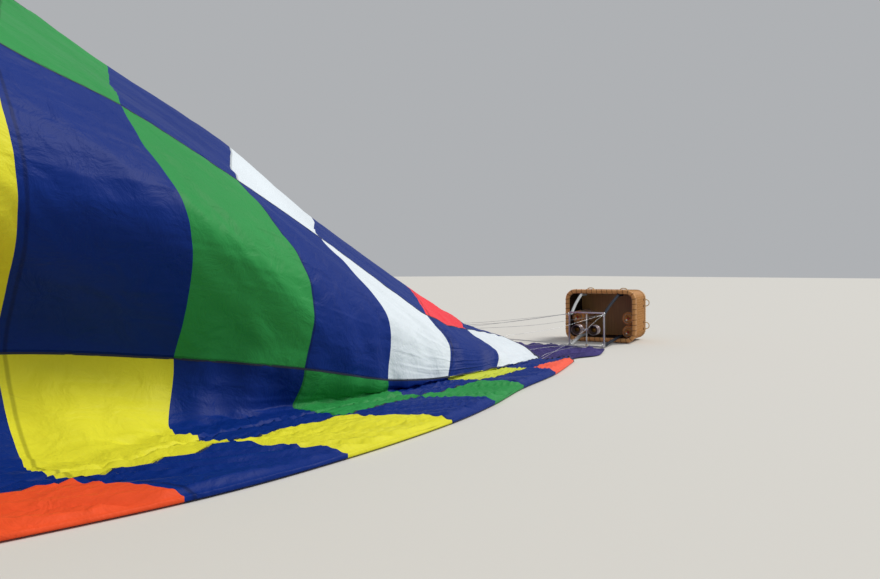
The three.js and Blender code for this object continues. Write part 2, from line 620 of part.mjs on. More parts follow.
// Twin burner: two cans joined by a square yoke round the gimbal bar
const canProfile = [[0, CAN_TO], [CAN_RADIUS - 25, CAN_TO], [CAN_RADIUS, CAN_TO - 30],
  [CAN_RADIUS, CAN_FROM], [CAN_RADIUS - 4, CAN_FROM], [CAN_RADIUS - 4, CAN_TO - 34],
  [CAN_RADIUS - 28, CAN_TO - 8], [0, CAN_TO - 8]];
const burnerParts = [-1, 1].map((s) => {
  const g = new THREE.LatheGeometry(canProfile.map((p) => new THREE.Vector2(...p)), 24);
  g.rotateZ(-Math.PI / 2);
  g.translate(FRAME_X, FRAME_Y + s * CAN_Y, midZ);
  g.deleteAttribute('uv');
  g.deleteAttribute('normal');
  return outward(mergeVertices(g, 1e-2));
});
const yokeY = 38;
for (const s of [-1, 1]) {
  const y = FRAME_Y + s * (yokeY + CAN_Y - CAN_RADIUS + 3) / 2;
  const reach = (CAN_Y - CAN_RADIUS + 3 - yokeY) / 2;
  burnerParts.push(box(FRAME_X - 60, FRAME_X + 60, y - reach, y + reach, midZ - 14, midZ + 14));
  const [x0, x1] = s < 0 ? [FRAME_X - 60, FRAME_X - 40] : [FRAME_X + 40, FRAME_X + 60];
  burnerParts.push(box(x0, x1, FRAME_Y - yokeY - 2, FRAME_Y + yokeY + 2, midZ - 14, midZ + 14));
}
put('burner', fuse(burnerParts), 'steel', basket);

// Padded uprights from inside the basket's rim to the corners of the burner frame
const upZ = BASKET_LIFT + BASKET_TALL - WALL / 2 - RIM - 30 - 0.1;
const lowZ = BASKET_LIFT + WALL / 2 + RIM + 30 + 0.1;
[[1, -1, 1], [2, 1, 1], [3, -1, 0], [4, 1, 0]].forEach(([n, side, up]) => {
  const z0 = up ? upZ : lowZ;
  const z1 = up ? fz - 36 : 34;
  const y0 = side * 420;
  const y1 = FRAME_Y + side * (fy - 34);
  const frameFace = FRAME_X + b;
  const line = [[330, y0, z0], [0, y0, z0], [-130, y0 * 0.995, z0 - (up ? 12 : 2)],
    [-700, (y0 + y1) / 2, (z0 + z1) / 2], [frameFace + 90, y1, z1 + (up ? 2 : 1)],
    [frameFace + 0.8, y1, z1]];
  put(`upright_${n}`, bar(line, 30, 12, 14), n % 2 ? 'dark_pad' : 'pad', basket);
});

// Flying wires: three from the mouth seams to each corner of the burner frame
const WIRE = 4;

// Start of a wire close to the mouth edge, clear of it by the seat whatever its slant
function standOff(j, p, corner) {
  const rim = new THREE.Vector3(...grid[0][wrap(j + 1)]).sub(new THREE.Vector3(...grid[0][wrap(j - 1)]));
  const face = rim.cross(normals[0][wrap(j)]).normalize();
  const way = corner.clone().sub(new THREE.Vector3(...p)).normalize();
  const c = Math.abs(way.dot(face));
  const far = (2 * SEAT + 1.15 * WIRE * Math.sqrt(1 - c * c)) / c;
  return [p[0] + way.x * far, p[1] + way.y * far, p[2] + way.z * far];
}
const seams = [M.top_end, M.upper_end, M.side_end, M.low_end];
[[1, -1, 1], [2, 1, 1], [3, -1, 0], [4, 1, 0]].forEach(([n, side, up]) => {
  const corner = toPart([FRAME_X - b - 66.5, FRAME_Y + side * (fy - b), up ? fz - 2 * b - 22 : 2 * b + 22]);
  const marks = up ? seams.slice(0, 3) : [M.low_end, M.low_end + 2, M.low_end + 5];
  const pieces = marks.map((mark, i) => {
    const j = side < 0 ? mark : AROUND - mark;
    const p = up ? moved(0, j, FABRIC / 2) : [...grid[0][wrap(j)].slice(0, 2), 0];
    const lying = [MOUTH_X - 150, side * (2300 - 650 * i), 2 * FABRIC + WIRE + 1];
    const start = up ? standOff(j, p, corner) : lying;
    const away = new THREE.Vector3(start[0] - corner.x, start[1] - corner.y, 0).setLength(26);
    const end = [corner.x + away.x, corner.y + away.y, corner.z];
    const sag = lerp(start, end, 0.5);
    sag[2] = Math.max(sag[2] - (up ? 60 : 0), 110);
    const lift = [start[0] + 260, lerp(start, end, 0.12)[1], start[2] + 50];
    return bar(up ? [start, sag, end] : [start, lift, sag, end], WIRE, 5, 7);
  });
  const snap = new THREE.TorusGeometry(26, 6, 6, 12);
  snap.deleteAttribute('uv');
  snap.deleteAttribute('normal');
  const ring = mergeVertices(snap, 1e-2);
  ring.applyMatrix4(new THREE.Matrix4().makeRotationZ(turn));
  ring.translate(corner.x, corner.y, corner.z);
  put(`flying_wires_${n}`, fuse([...pieces, ring]), 'steel');
});

export default group;
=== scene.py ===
import math

import bpy
import numpy as np
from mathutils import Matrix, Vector


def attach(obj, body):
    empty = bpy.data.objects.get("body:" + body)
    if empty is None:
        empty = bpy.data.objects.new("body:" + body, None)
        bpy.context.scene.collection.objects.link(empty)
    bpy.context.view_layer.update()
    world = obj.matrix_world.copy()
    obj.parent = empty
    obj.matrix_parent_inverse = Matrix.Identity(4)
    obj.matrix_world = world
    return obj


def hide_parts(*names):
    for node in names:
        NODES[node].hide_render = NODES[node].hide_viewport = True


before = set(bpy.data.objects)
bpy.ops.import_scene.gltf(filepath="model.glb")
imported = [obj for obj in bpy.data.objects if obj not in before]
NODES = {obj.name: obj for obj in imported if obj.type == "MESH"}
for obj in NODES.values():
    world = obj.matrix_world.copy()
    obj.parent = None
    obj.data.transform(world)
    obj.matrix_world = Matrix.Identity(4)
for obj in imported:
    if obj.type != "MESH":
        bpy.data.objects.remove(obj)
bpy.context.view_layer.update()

# ---- Floor, light and camera ----
# A pale studio floor, an even pale surround and one broad soft light from above the basket's side.
# The camera stands at eye height, 12 m from the envelope's axis, level, with a wide lens.
MOUTH_X = 9.0252


def linear(code, alpha=1.0):
    """An sRGB hex colour as the linear colour that Blender's sockets take."""
    value = [int(code[i:i + 2], 16) / 255 for i in (0, 2, 4)]
    return [v / 12.92 if v <= 0.04045 else ((v + 0.055) / 1.055) ** 2.4 for v in value] + [alpha]


def add(tree, kind, links=None, **settings):
    """One node with its settings. A link value is a socket to join or a number to set."""
    made = tree.nodes.new(kind)
    for key, value in settings.items():
        setattr(made, key, value)
    for key, value in (links or {}).items():
        if isinstance(value, bpy.types.NodeSocket):
            tree.links.new(value, made.inputs[key])
        else:
            made.inputs[key].default_value = value
    return made


def finish_of(name, colour, roughness, metallic=0.0, bump=None, **sockets):
    """A material with one Principled shader. colour and roughness are values or callables that
    build nodes and return a socket; bump returns (height socket, distance in metres)."""
    made = bpy.data.materials.new(name)
    made.use_nodes = True
    tree = made.node_tree
    shader = tree.nodes["Principled BSDF"]
    for key, value in (("Base Color", colour), ("Roughness", roughness)):
        if callable(value):
            tree.links.new(value(tree), shader.inputs[key])
        else:
            shader.inputs[key].default_value = linear(value) if isinstance(value, str) else value
    shader.inputs["Metallic"].default_value = metallic
    for key, value in sockets.items():
        shader.inputs[key.replace("_", " ")].default_value = value
    if bump:
        height, distance = bump(tree)
        node = add(tree, "ShaderNodeBump", {"Height": height, "Distance": distance, "Strength": 1.0})
        tree.links.new(node.outputs["Normal"], shader.inputs["Normal"])
    return made


def surface(name, points, material, body="balloon", uv=None, close_u=False, close_v=False, caps=False,
            smooth=True):
    """A mesh from a grid of points [rows, columns, 3]: each cell of the grid is one face. close_u
    joins the last column to the first, close_v the last row to the first, and caps close the ends
    with a face each, or the last end only. A list of grids makes one mesh of them all."""
    faces, corners, start = [], [], 0
    for grid in points if isinstance(points, list) else [points]:
        rows, cols = grid.shape[:2]
        r = np.arange(rows if close_v else rows - 1)[:, None]
        c = np.arange(cols if close_u else cols - 1)[None, :]
        r2, c2 = (r + 1) % rows, (c + 1) % cols
        cells = np.stack([r * cols + c, r * cols + c2, r2 * cols + c2, r2 * cols + c], axis=-1)
        faces += (cells.reshape(-1, 4) + start).tolist()
        if caps:
            last = start + (rows - 1) * cols
            faces += [list(range(last, last + cols))]
            faces += [] if caps == "last" else [list(range(start + cols - 1, start - 1, -1))]
        corners.append(grid.reshape(-1, 3))
        start += rows * cols
    mesh = bpy.data.meshes.new(name)
    mesh.from_pydata(np.concatenate(corners), [], faces)
    mesh.polygons.foreach_set("use_smooth", np.full(len(faces), smooth))
    if uv is not None:
        layer = mesh.uv_layers.new(name="UVMap")
        corner = np.empty(len(mesh.loops), np.int32)
        mesh.loops.foreach_get("vertex_index", corner)
        layer.data.foreach_set("uv", uv.reshape(-1, 2)[corner].astype(np.float32).ravel())
    mesh.materials.append(material)
    made = bpy.data.objects.new(name, mesh)
    bpy.context.scene.collection.objects.link(made)
    if body:
        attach(made, body)
    return made


floor_finish = finish_of("matt_studio_floor", "cfcecb", 0.9)
FLOOR_Z = -0.012
corners = np.array([[[-160, y, FLOOR_Z], [160, y, FLOOR_Z]] for y in (-120, 160)], float)
floor = surface("studio_floor", corners, floor_finish, body=None, smooth=False)

world = bpy.data.worlds.new("studio")
bpy.context.scene.world = world
world.use_nodes = True
world.node_tree.nodes["Background"].inputs["Color"].default_value = linear("eef1f5")
world.node_tree.nodes["Background"].inputs["Strength"].default_value = 0.5
softbox = bpy.data.lights.new("soft_key", "SUN")
softbox.energy, softbox.angle, softbox.color = 2.7, 0.45, linear("fffaf0")[:3]
key = bpy.data.objects.new("soft_key", softbox)
bpy.context.scene.collection.objects.link(key)
key.rotation_euler = Vector((-0.62, 0.2, -0.76)).to_track_quat("-Z", "Y").to_euler()

# The lens is 680 pixels long in a picture 880 wide, and the horizon lies 18.5 pixels off the middle.
PICTURE, SENSOR = 880, 36.0
camera = bpy.data.cameras.new("camera")
camera.sensor_width, camera.lens = SENSOR, SENSOR * 680 / PICTURE
camera.shift_y = -18.5 / PICTURE
camera.clip_end = 500
eye = bpy.data.objects.new("camera", camera)
bpy.context.scene.collection.objects.link(eye)
eye.location = (MOUTH_X - 8.513, -11.761, 1.6)
eye.rotation_euler = (math.pi / 2, 0, -math.atan2(0.5446, 0.8387))
bpy.context.scene.camera = eye
bpy.context.scene.view_settings.view_transform = "Standard"

# ---- Envelope shape ----
# The envelope lies on its side, part filled: a dome over the ground with a fold of slack cloth
# laid flat along each side. The table holds its sections by row of panels, from the mouth.
ROWS = np.array([0, 1, 2, 3, 4, 5, 6, 8, 10, 12, 14, 16, 17], float)
SECTIONS = np.array([
    [[550, 0, 420], [550, 1040, 410], [720, 1870, 370], [600, 2380, 220],
     [660, 2860, 50], [550, 2950, 0], [50, 2940, 0], [40, 3010, 0], [300, 0, 0]],
    [[1950, 0, 1010], [1720, 1680, 800], [1990, 2600, 640], [1770, 3060, 370],
     [2000, 3400, 90], [1880, 3330, 0], [1400, 3500, 0], [1280, 3900, 0], [1600, 0, 0]],
    [[3050, 0, 1800], [2930, 2130, 1390], [3200, 3300, 930], [3060, 3600, 530],
     [3220, 3860, 120], [3150, 3800, 0], [2840, 4110, 0], [2530, 4610, 0], [2900, 0, 0]],
    [[4350, 0, 2750], [4560, 1940, 2490], [4880, 3300, 2020], [4340, 4060, 1040],
     [4370, 4260, 230], [4385, 4224, 0], [4150, 4640, 0], [3560, 5300, 0], [4200, 0, 0]],
    [[5710, 0, 3490], [5820, 1950, 3430], [6130, 3700, 2670], [5620, 4550, 1630],
     [5655, 4620, 510], [5816, 4600, 0], [5460, 5180, 0], [4580, 5865, 0], [5500, 0, 0]],
    [[7000, 0, 4450], [7300, 1990, 4250], [7400, 4190, 3250], [6960, 5030, 2070],
     [6920, 4450, 690], [7121, 4955, 20], [6690, 5585, 0], [6000, 6450, 0], [6900, 0, 0]],
    [[8300, 0, 5220], [8500, 2100, 4950], [8560, 4690, 3620], [8390, 5470, 2310],
     [8470, 4500, 860], [8350, 5650, 20], [8000, 6115, 0], [7440, 6850, 0], [8300, 0, 0]],
    [[11000, 0, 6550], [11150, 2750, 6300], [11250, 5550, 4950], [11200, 6950, 3000],
     [11300, 6150, 1050], [11300, 6080, 20], [11150, 6450, 0], [10600, 7200, 0], [11100, 0, 0]],
    [[13750, 0, 7350], [13850, 3000, 7100], [13950, 6150, 5650], [14000, 7850, 3400],
     [14150, 7200, 1200], [14230, 6500, 0], [14200, 7050, 0], [13700, 8150, 0], [14100, 0, 0]],
    [[16450, 0, 7200], [16550, 2950, 6950], [16700, 6050, 5500], [16850, 7700, 3350],
     [17050, 7200, 1200], [17200, 6500, 0], [17200, 7000, 0], [16950, 8100, 0], [17100, 0, 0]],
    [[18950, 0, 6150], [19050, 2450, 5920], [19200, 4950, 4750], [19450, 6200, 3000],
     [19750, 5950, 1150], [20000, 5450, 160], [20200, 5700, 0], [20250, 5900, 0], [20200, 0, 0]],
    [[20750, 0, 4450], [20800, 1500, 4300], [20950, 3000, 3550], [21200, 3750, 2450],
     [21500, 3650, 1150], [21650, 3050, 550], [21750, 2600, 330], [21800, 2000, 220], [21850, 0, 120]],
    [[21250, 0, 3500], [21300, 1020, 3380], [21400, 2000, 2900], [21550, 2450, 2150],
     [21750, 2250, 1300], [21850, 1800, 950], [21920, 1250, 750], [21950, 750, 660], [21980, 0, 610]],
]) / 1000
ROW_LENGTH = 1.43
GORE_WIDTHS = np.array([0.95, 1.38, 1.81, 2.24, 2.67, 3.1, 3.52, 3.85, 4.1,
                        4.3, 4.4, 4.35, 4.15, 3.8, 3.3, 2.7, 2.0, 1.25])
# The height that a layer of cloth on the ground takes up.
LAYER = 0.026


def columns_at(rows):
    """The nine section points at any row: a cubic between the table's rows whose slope at each
    row is that of the chord between its neighbours."""
    n = len(ROWS)
    low, high = np.maximum(np.arange(n) - 1, 0), np.minimum(np.arange(n) + 1, n - 1)
    slope = (SECTIONS[high] - SECTIONS[low]) / (ROWS[high] - ROWS[low])[:, None, None]
    i = np.clip(np.searchsorted(ROWS, rows, "right") - 1, 0, n - 2)
    h = (ROWS[i + 1] - ROWS[i])[:, None, None]
    u = ((rows - ROWS[i]) / (ROWS[i + 1] - ROWS[i]))[:, None, None]
    return (SECTIONS[i] * (1 + 2 * u) * (1 - u) ** 2 + slope[i] * h * u * (1 - u) ** 2
            + SECTIONS[i + 1] * u * u * (3 - 2 * u) + slope[i + 1] * h * u * u * (u - 1))


def smooth_line(points, t):
    """A Catmull-Rom line through the points [rows, points, 3] at the places t."""
    n = points.shape[1] - 1
    i = np.minimum(t.astype(int), n - 1)
    u = (t - i)[None, :, None]
    a, b, c, d = (points[:, np.clip(i + k, 0, n)] for k in (-1, 0, 1, 2))
    square, cube = 2 * a - 5 * b + 4 * c - d, 3 * b - a - 3 * c + d
    return 0.5 * (2 * b + (c - a) * u + square * u * u + cube * u ** 3)


def evenly(line, share):
    """Points at the given shares of each row's own length, straight between the line's points."""
    run = np.cumsum(np.linalg.norm(np.diff(line, axis=1), axis=2), axis=1)
    run = np.concatenate([np.zeros((len(line), 1)), run], axis=1)
    want = run[:, -1:] * share
    i = np.clip((run[:, None, :] <= want[:, :, None]).sum(2), 1, line.shape[1] - 1)
    at = np.take_along_axis
    low, high = at(run, i - 1, 1), at(run, i, 1)
    f = ((want - low) / np.maximum(high - low, 1e-9))[:, :, None]
    return at(line, (i - 1)[:, :, None], 1) * (1 - f) + at(line, i[:, :, None], 1) * f


def half_section(rows, counts):
    """Half of each section, from the top middle to the bottom middle, as one line per gore. What the
    low gore has to spare lies on the ground in a flat pleat, tucked under."""
    col = columns_at(rows)
    mirror = col[:, 1] * [1, -1, 1]
    dome = np.stack([mirror] + [col[:, k] for k in range(8)], axis=1)
    dome[:, 5, 2] = np.maximum(dome[:, 5, 2], LAYER + 0.02)
    dome[:, 6:, 2] = np.maximum(dome[:, 6:, 2], LAYER)
    crown = smooth_line(dome, np.linspace(1, 3, 81))
    out = {"top": evenly(crown, np.linspace(0, 1 / 3, counts["top"])),
           "upper": evenly(crown, np.linspace(1 / 3, 1, counts["upper"])),
           "side": evenly(smooth_line(dome, np.linspace(3, 5, 81)), np.linspace(0, 1, counts["side"]))}
    width = np.interp(rows, np.arange(18), GORE_WIDTHS)
    low = smooth_line(dome, np.linspace(5, 7, 81))
    low[:, :, 2] = np.maximum(low[:, :, 2], LAYER)
    run = np.cumsum(np.linalg.norm(np.diff(low, axis=1), axis=2), axis=1)
    spare = np.maximum(0.76 * width - run[:, -1], 0.02) / 2
    inward = (low[:, 40] - low[:, 62]) * [1, 1, 0]
    inward *= (spare / np.linalg.norm(inward, axis=1))[:, None]
    on_ground = low[:, 62] * [1, 1, 0]
    tuck = np.stack([on_ground + inward + [0, 0, 0.017], on_ground + [0, 0, 0.011]], axis=1)
    pleated = np.concatenate([low[:, :63], tuck, low[:, 63:]], axis=1)
    out["low"] = evenly(pleated, np.linspace(0, 1, counts["low"]))
    out["tuck"] = np.stack([run[:, 61] - 0.03, run[:, 61] + 2 * spare + 0.03], axis=1)
    seam, edge = dome[:, 7], dome[:, 8]
    middle = col[:, 8] * [1, 0, 1]
    middle[:, 2] = np.maximum(middle[:, 2], 0)
    opened = np.clip((rows - 14) / 2, 0, 1)[:, None, None]
    w = np.linspace(0, math.pi, 9)[None, :]
    rise = edge[:, 2:] - LAYER
    folded = np.stack([edge[:, :1] + 0 * w, edge[:, 1:2] + LAYER / 2 * np.sin(w),
                       rise + LAYER / 2 * (1 + np.cos(w))], axis=2)
    inward = np.hypot(edge[:, 1], edge[:, 2] - middle[:, 2])[:, None, None]
    straight = edge[:, None] + (middle - edge)[:, None] * (0.045 * (w / math.pi)[:, :, None] / inward)
    turn = folded * (1 - opened) + straight * opened
    foot = turn[:, -1]
    lap = np.linalg.norm(seam - edge, axis=1)
    first = np.maximum(width - lap, 0.3 * width)
    total = first + 1.5 * width

    def bow(share):
        t = share[:, :, None]
        p = foot[:, None] * (1 - t) + middle[:, None] * t
        p[:, :, 2] = (middle[:, None, 2] + (foot[:, None, 2] - middle[:, None, 2]) * (1 - share) ** 2)
        return p

    one = np.linspace(0, 1, counts["lap"])[None, :, None]
    lap_line = seam[:, None] * (1 - one) + edge[:, None] * one
    f1, f2 = (first / total)[:, None], ((first + width) / total)[:, None]
    under = bow(f1 * np.linspace(0, 1, counts["under_layer"])[None, :])
    out["fold"] = np.concatenate([lap_line, turn[:, 1:-1], under], axis=1)
    out["under"] = bow(f1 + (f2 - f1) * np.linspace(0, 1, counts["under"])[None, :])
    out["bottom"] = bow(f2 + (1 - f2) * np.linspace(0, 1, counts["bottom"])[None, :])
    return out


def lattice(x, y, seed):
    """Smooth noise from -1 to 1: random slopes at whole-number points, blended between them."""
    turns = np.random.default_rng(seed).uniform(0, 2 * math.pi, (64, 64))
    i, j = np.floor(x).astype(int), np.floor(y).astype(int)
    fx, fy = x - i, y - j
    sx, sy = fx ** 3 * (fx * (6 * fx - 15) + 10), fy ** 3 * (fy * (6 * fy - 15) + 10)

    def slope(di, dj):
        angle = turns[(i + di) % 64, (j + dj) % 64]
        return np.cos(angle) * (fx - di) + np.sin(angle) * (fy - dj)

    top = slope(0, 0) * (1 - sx) + slope(1, 0) * sx
    low = slope(0, 1) * (1 - sx) + slope(1, 1) * sx
    return 1.5 * (top * (1 - sy) + low * sy)


def normals_of(points):
    """The outward direction at each grid point, from the differences to its neighbours."""
    along, across = np.gradient(points, axis=0), np.gradient(points, axis=1)
    n = np.cross(across, along)
    return n / np.maximum(np.linalg.norm(n, axis=2, keepdims=True), 1e-12)


def ramp(x, low, high):
    """0 below low, 1 above high, smooth between them."""
    t = np.clip((x - low) / (high - low), 0, 1)
    return t * t * (3 - 2 * t)


FINE = np.linspace(0, 17, 341)
COUNTS = {"top": 33, "upper": 81, "side": 97, "low": 113, "lap": 65, "under_layer": 17, "under": 33,
          "bottom": 17}
half = half_section(FINE, COUNTS)
ORDER = ["top", "upper", "side", "low", "fold", "under", "bottom"]
line, marks = [half["top"]], {}
at = half["top"].shape[1] - 1
marks["top"] = (0, at)
for name in ORDER[1:]:
    line.append(half[name][:, 1:])
    marks[name] = (at, at + half[name].shape[1] - 1)
    at = marks[name][1]
line = np.concatenate(line, axis=1)
step = np.linalg.norm(np.diff(line, axis=1), axis=2)
girth = np.concatenate([np.zeros((len(FINE), 1)), np.cumsum(step, axis=1)], axis=1)
length = np.repeat((FINE * ROW_LENGTH)[:, None], line.shape[1], axis=1)


def creased(side):
    """One half of the cloth with its folds. Displacement along the outward direction is the sum of
    a bulge between the tapes, long ripples along the gore, folds drawn slantwise, short gathers at
    the tapes and, on the ground, ridges that run along the gore."""
    base = line * [-1, side, 1] + [MOUTH_X, 0, 0]
    out = normals_of(base) * (-side)
    seed = 10 if side < 0 else 40
    across = np.zeros_like(girth)
    width = np.zeros_like(girth)
    for name, (a, b) in marks.items():
        start = girth[:, a:a + 1] if name != "top" else -girth[:, b:b + 1]
        end = girth[:, b:b + 1] if name != "bottom" else 2 * girth[:, b:b + 1] - girth[:, a:a + 1]
        width[:, a:b + 1] = end - start
        across[:, a:b + 1] = (girth[:, a:b + 1] - start) / (end - start)
    edge = np.minimum(across, 1 - across) * width
    held = ramp(edge, 0.0, 0.22)
    high = ramp(base[:, :, 2], 0.05, 0.6)
    j = np.arange(line.shape[1])[None, :]
    along_low = girth - girth[:, marks["low"][0]:marks["low"][0] + 1]
    in_low = (j > marks["low"][0]) & (j < marks["low"][1])
    tucked = (along_low > half["tuck"][:, :1]) & (along_low < half["tuck"][:, 1:]) & in_low
    hidden = (j > marks["fold"][0] + COUNTS["lap"] + 1) | tucked
    swell = 0.055 * np.sin(math.pi * np.clip(across, 0, 1)) * np.minimum(width / 4, 1) * high
    slant = girth + 0.10 * length
    long_ripple = 0.045 * lattice(slant / 1.1, length / 7.0, seed)
    long_ripple += 0.018 * lattice(slant / 0.42, length / 3.2, seed + 1)
    lean = girth + 0.85 * length + 0.25 * lattice(girth / 1.3, length / 1.6, seed + 5)
    drawn = 0.62 - np.abs(lattice(lean / 0.42, (girth - length) / 2.6, seed + 2))
    patch = ramp(lattice(girth / 1.7, length / 1.9, seed + 9), -0.25, 0.55)
    fine_ripple = (0.010 + 0.026 * patch) * drawn
    fine_ripple += 0.006 * lattice(lean / 0.13, (girth - length) / 1.1, seed + 12)
    gather = 0.014 * lattice(edge / 0.5, length / 0.17, seed + 3)
    gather *= np.exp(-edge / 0.25) * ramp(edge, 0, 0.03)
    shift = swell + (long_ripple + fine_ripple) * held * (0.35 + 0.65 * high) + gather * (0.4 + 0.6 * high)
    foot = ramp(base[:, :, 2], 0.03, 0.12) * (1 - ramp(base[:, :, 2], 0.5, 1.4))
    shift += 0.05 * foot * lattice(length / 0.42 + 0.3 * girth, girth / 1.6, seed + 4)
    grown = base + out * (shift * ~hidden)[:, :, None]
    flat = (1 - ramp(base[:, :, 2], 0.03, 0.14)) * ~hidden
    wander = 0.4 * lattice(girth / 0.8, length / 2.6, seed + 6)
    ridge = np.abs(lattice(girth / 0.16 + wander, length / 5.5, seed + 7))
    small = lattice(girth / 0.08, length / 1.8, seed + 8)
    fold_edge = marks["fold"][0] + COUNTS["lap"] - 1
    away = ramp(np.abs(girth - girth[:, fold_edge:fold_edge + 1]), 0.0, 0.10)
    grown[:, :, 2] += flat * (0.085 * np.maximum(0.62 - ridge, -0.05) * away + 0.004 * small + 0.014)
    grown[:, :, 2] = np.where(hidden, base[:, :, 2] + 0.001, np.maximum(grown[:, :, 2], LAYER * 0.7))
    top_edge = marks["top"][1]
    u = np.where(j <= top_edge, 0.5 + 0.5 * girth / girth[:, top_edge, None], across)
    return grown, u


cloth = {side: creased(side) for side in (-1, 1)}

# ---- Envelope cloth ----
# Twelve gores of coated ripstop nylon, each sewn from eighteen panels in turns of navy and a
# colour, so that the envelope shows a checkerboard whose colours run round it in diagonals.
CLOTH = {"navy": "032878", "red": "e63a46", "white": "d6e0ea", "green": "2b8c48", "yellow": "d8d532",
         "orange": "e8532b", "salmon": "ee5f4a", "lime": "c2cc40"}
DIAGONALS = ["white", "green", "yellow", "orange", "red"]
PLACE = {"fold_near": 0, "low_near": 1, "side_near": 2, "upper_near": 3, "top": 4, "upper_far": 5,
         "side_far": 6, "low_far": 7, "fold_far": 8, "under_far": 9, "bottom": -2, "under_near": -1}
MOUTH_PANELS = {("fold_near", 1): "salmon", ("low_near", 2): "lime", ("side_near", 1): "white"}


def panel_colour(gore, row):
    """Navy and colour take turns; the colour goes by the difference of row and gore."""
    if (row - PLACE[gore]) % 2 == 0:
        return "navy"
    return MOUTH_PANELS.get((gore, row), DIAGONALS[((row - PLACE[gore] - 1) // 2) % 5])


def ripstop(name, colours, count):
    """Coated ripstop nylon: panel colours by the second UV coordinate, a sewn line where two
    panels meet, slight fading, and a bump from crinkles and from lines drawn along the gore. The
    weave itself is too fine to show and isn't drawn."""
    def tint(tree):
        uv = add(tree, "ShaderNodeUVMap", uv_map="UVMap").outputs[0]
        place = add(tree, "ShaderNodeSeparateXYZ", {0: uv})
        share = add(tree, "ShaderNodeMath", {0: place.outputs[1], 1: 1 / count}, operation="MULTIPLY")
        band = add(tree, "ShaderNodeValToRGB", {0: share.outputs[0]})
        band.color_ramp.interpolation = "CONSTANT"
        stops = band.color_ramp.elements
        while len(stops) < len(colours):
            stops.new(0.5)
        for i, (stop, code) in enumerate(zip(stops, colours)):
            stop.position, stop.color = i / count, linear(code)
        near = add(tree, "ShaderNodeMath", {0: place.outputs[1], 1: 1.0}, operation="PINGPONG")
        seam = {0: near.outputs[0], 1: 0.006, 2: 0.016, 3: 0.62, 4: 1.0}
        sewn = add(tree, "ShaderNodeMapRange", seam)
        where = add(tree, "ShaderNodeTexCoord").outputs["Object"]
        fade = add(tree, "ShaderNodeTexNoise", {0: where, "Scale": 0.5, "Detail": 4.0})
        worn = add(tree, "ShaderNodeMapRange", {0: fade.outputs[0], 1: 0.3, 2: 0.75, 3: 0.93, 4: 1.06})
        value = add(tree, "ShaderNodeMath", {0: worn.outputs[0], 1: sewn.outputs[0]}, operation="MULTIPLY")
        shaded = {"Value": value.outputs[0], "Color": band.outputs[0]}
        return add(tree, "ShaderNodeHueSaturation", shaded).outputs[0]

    def relief(tree):
        where = add(tree, "ShaderNodeTexCoord").outputs["Object"]
        fine = {0: where, "Scale": 3.2, "Detail": 6.0, "Roughness": 0.55, "Distortion": 0.6}
        crinkle = add(tree, "ShaderNodeTexNoise", fine)
        uv = add(tree, "ShaderNodeUVMap", uv_map="UVMap").outputs[0]
        drawn = add(tree, "ShaderNodeMapping", {0: uv, "Scale": (14.0, 0.7, 1.0)})
        lines = {0: drawn.outputs[0], "Scale": 1.0, "Detail": 5.0, "Distortion": 0.8}
        pull = add(tree, "ShaderNodeTexNoise", lines, noise_type="RIDGED_MULTIFRACTAL")
        mixed = {0: pull.outputs[0], 1: 0.35, 2: crinkle.outputs[0]}
        return add(tree, "ShaderNodeMath", mixed, operation="MULTIPLY_ADD").outputs[0], 0.035

    return finish_of(name, tint, 0.52, bump=relief, Specular_IOR_Level=0.12)


# How far, in rows, the middle of a panel's edge bows towards the mouth.
MOUTHWARD = 0.06
for gore in PLACE:
    part, _, where = gore.partition("_")
    a, b = marks[part]
    if where:
        grown, u = cloth[-1 if where == "near" else 1]
        points, share = grown[:, a:b + 1], u[:, a:b + 1]
        if where == "far":
            points, share = points[::2, ::-1], share[::2, ::-1]
        elif part == "under":
            points, share = points[::2], share[::2]
    else:
        (one, u1), (two, u2) = cloth[-1], cloth[1]
        if part == "top":
            points = np.concatenate([two[:, b:0:-1], one[:, a:b + 1]], axis=1)[::2]
            share = np.concatenate([1 - u2[:, b:0:-1], u1[:, a:b + 1]], axis=1)[::2]
        else:
            points = np.concatenate([one[:, a:b], two[:, b:a - 1 if a else None:-1]], axis=1)[::2]
            share = np.linspace(0, 1, points.shape[1])[None, :] + np.zeros((points.shape[0], 1))
    rows = np.linspace(0, 17, points.shape[0])[:, None] + MOUTHWARD * 4 * share * (1 - share)
    panels = [CLOTH[panel_colour(gore, n)] for n in range(1, 19)]
    finish = ripstop(f"ripstop_nylon_{gore}", panels, len(panels))
    made = surface(f"cloth_{gore}", points[::-1], finish, uv=np.stack([share, rows], axis=2)[::-1])
    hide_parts(f"gore_{gore}")

# ---- Load tapes ----
# A woven polyester tape is sewn over each of the twelve seams and takes the load from the crown
# ring to the wires. Another one hems the mouth.
APEX = np.array([MOUTH_X - 22.35, 0, 2.15])
TAPE_WIDE = 0.022


def pebbled(scale, detail, distance):
    """A surface with an even, random grain, such as webbing, hide or rope."""
    def build(tree):
        where = add(tree, "ShaderNodeTexCoord").outputs["Object"]
        dents = add(tree, "ShaderNodeTexNoise", {0: where, "Scale": scale, "Detail": detail})
        return dents.outputs[0], distance
    return build


tape_finish = finish_of("polyester_webbing", "141f3d", 0.72, bump=pebbled(180.0, 2.0, 0.001))


def flat_strip(path, up, wide, thick, low=-0.001):
    """A strip with a rectangular section along a path: its width lies across the path and the
    direction up, its height along up."""
    along = np.gradient(path, axis=0)
    aside = np.cross(along, up)
    aside *= wide / 2 / np.linalg.norm(aside, axis=1, keepdims=True)
    return np.stack([path - aside + up * low, path + aside + up * low,
                     path + aside + up * (low + thick), path - aside + up * (low + thick)], axis=1)


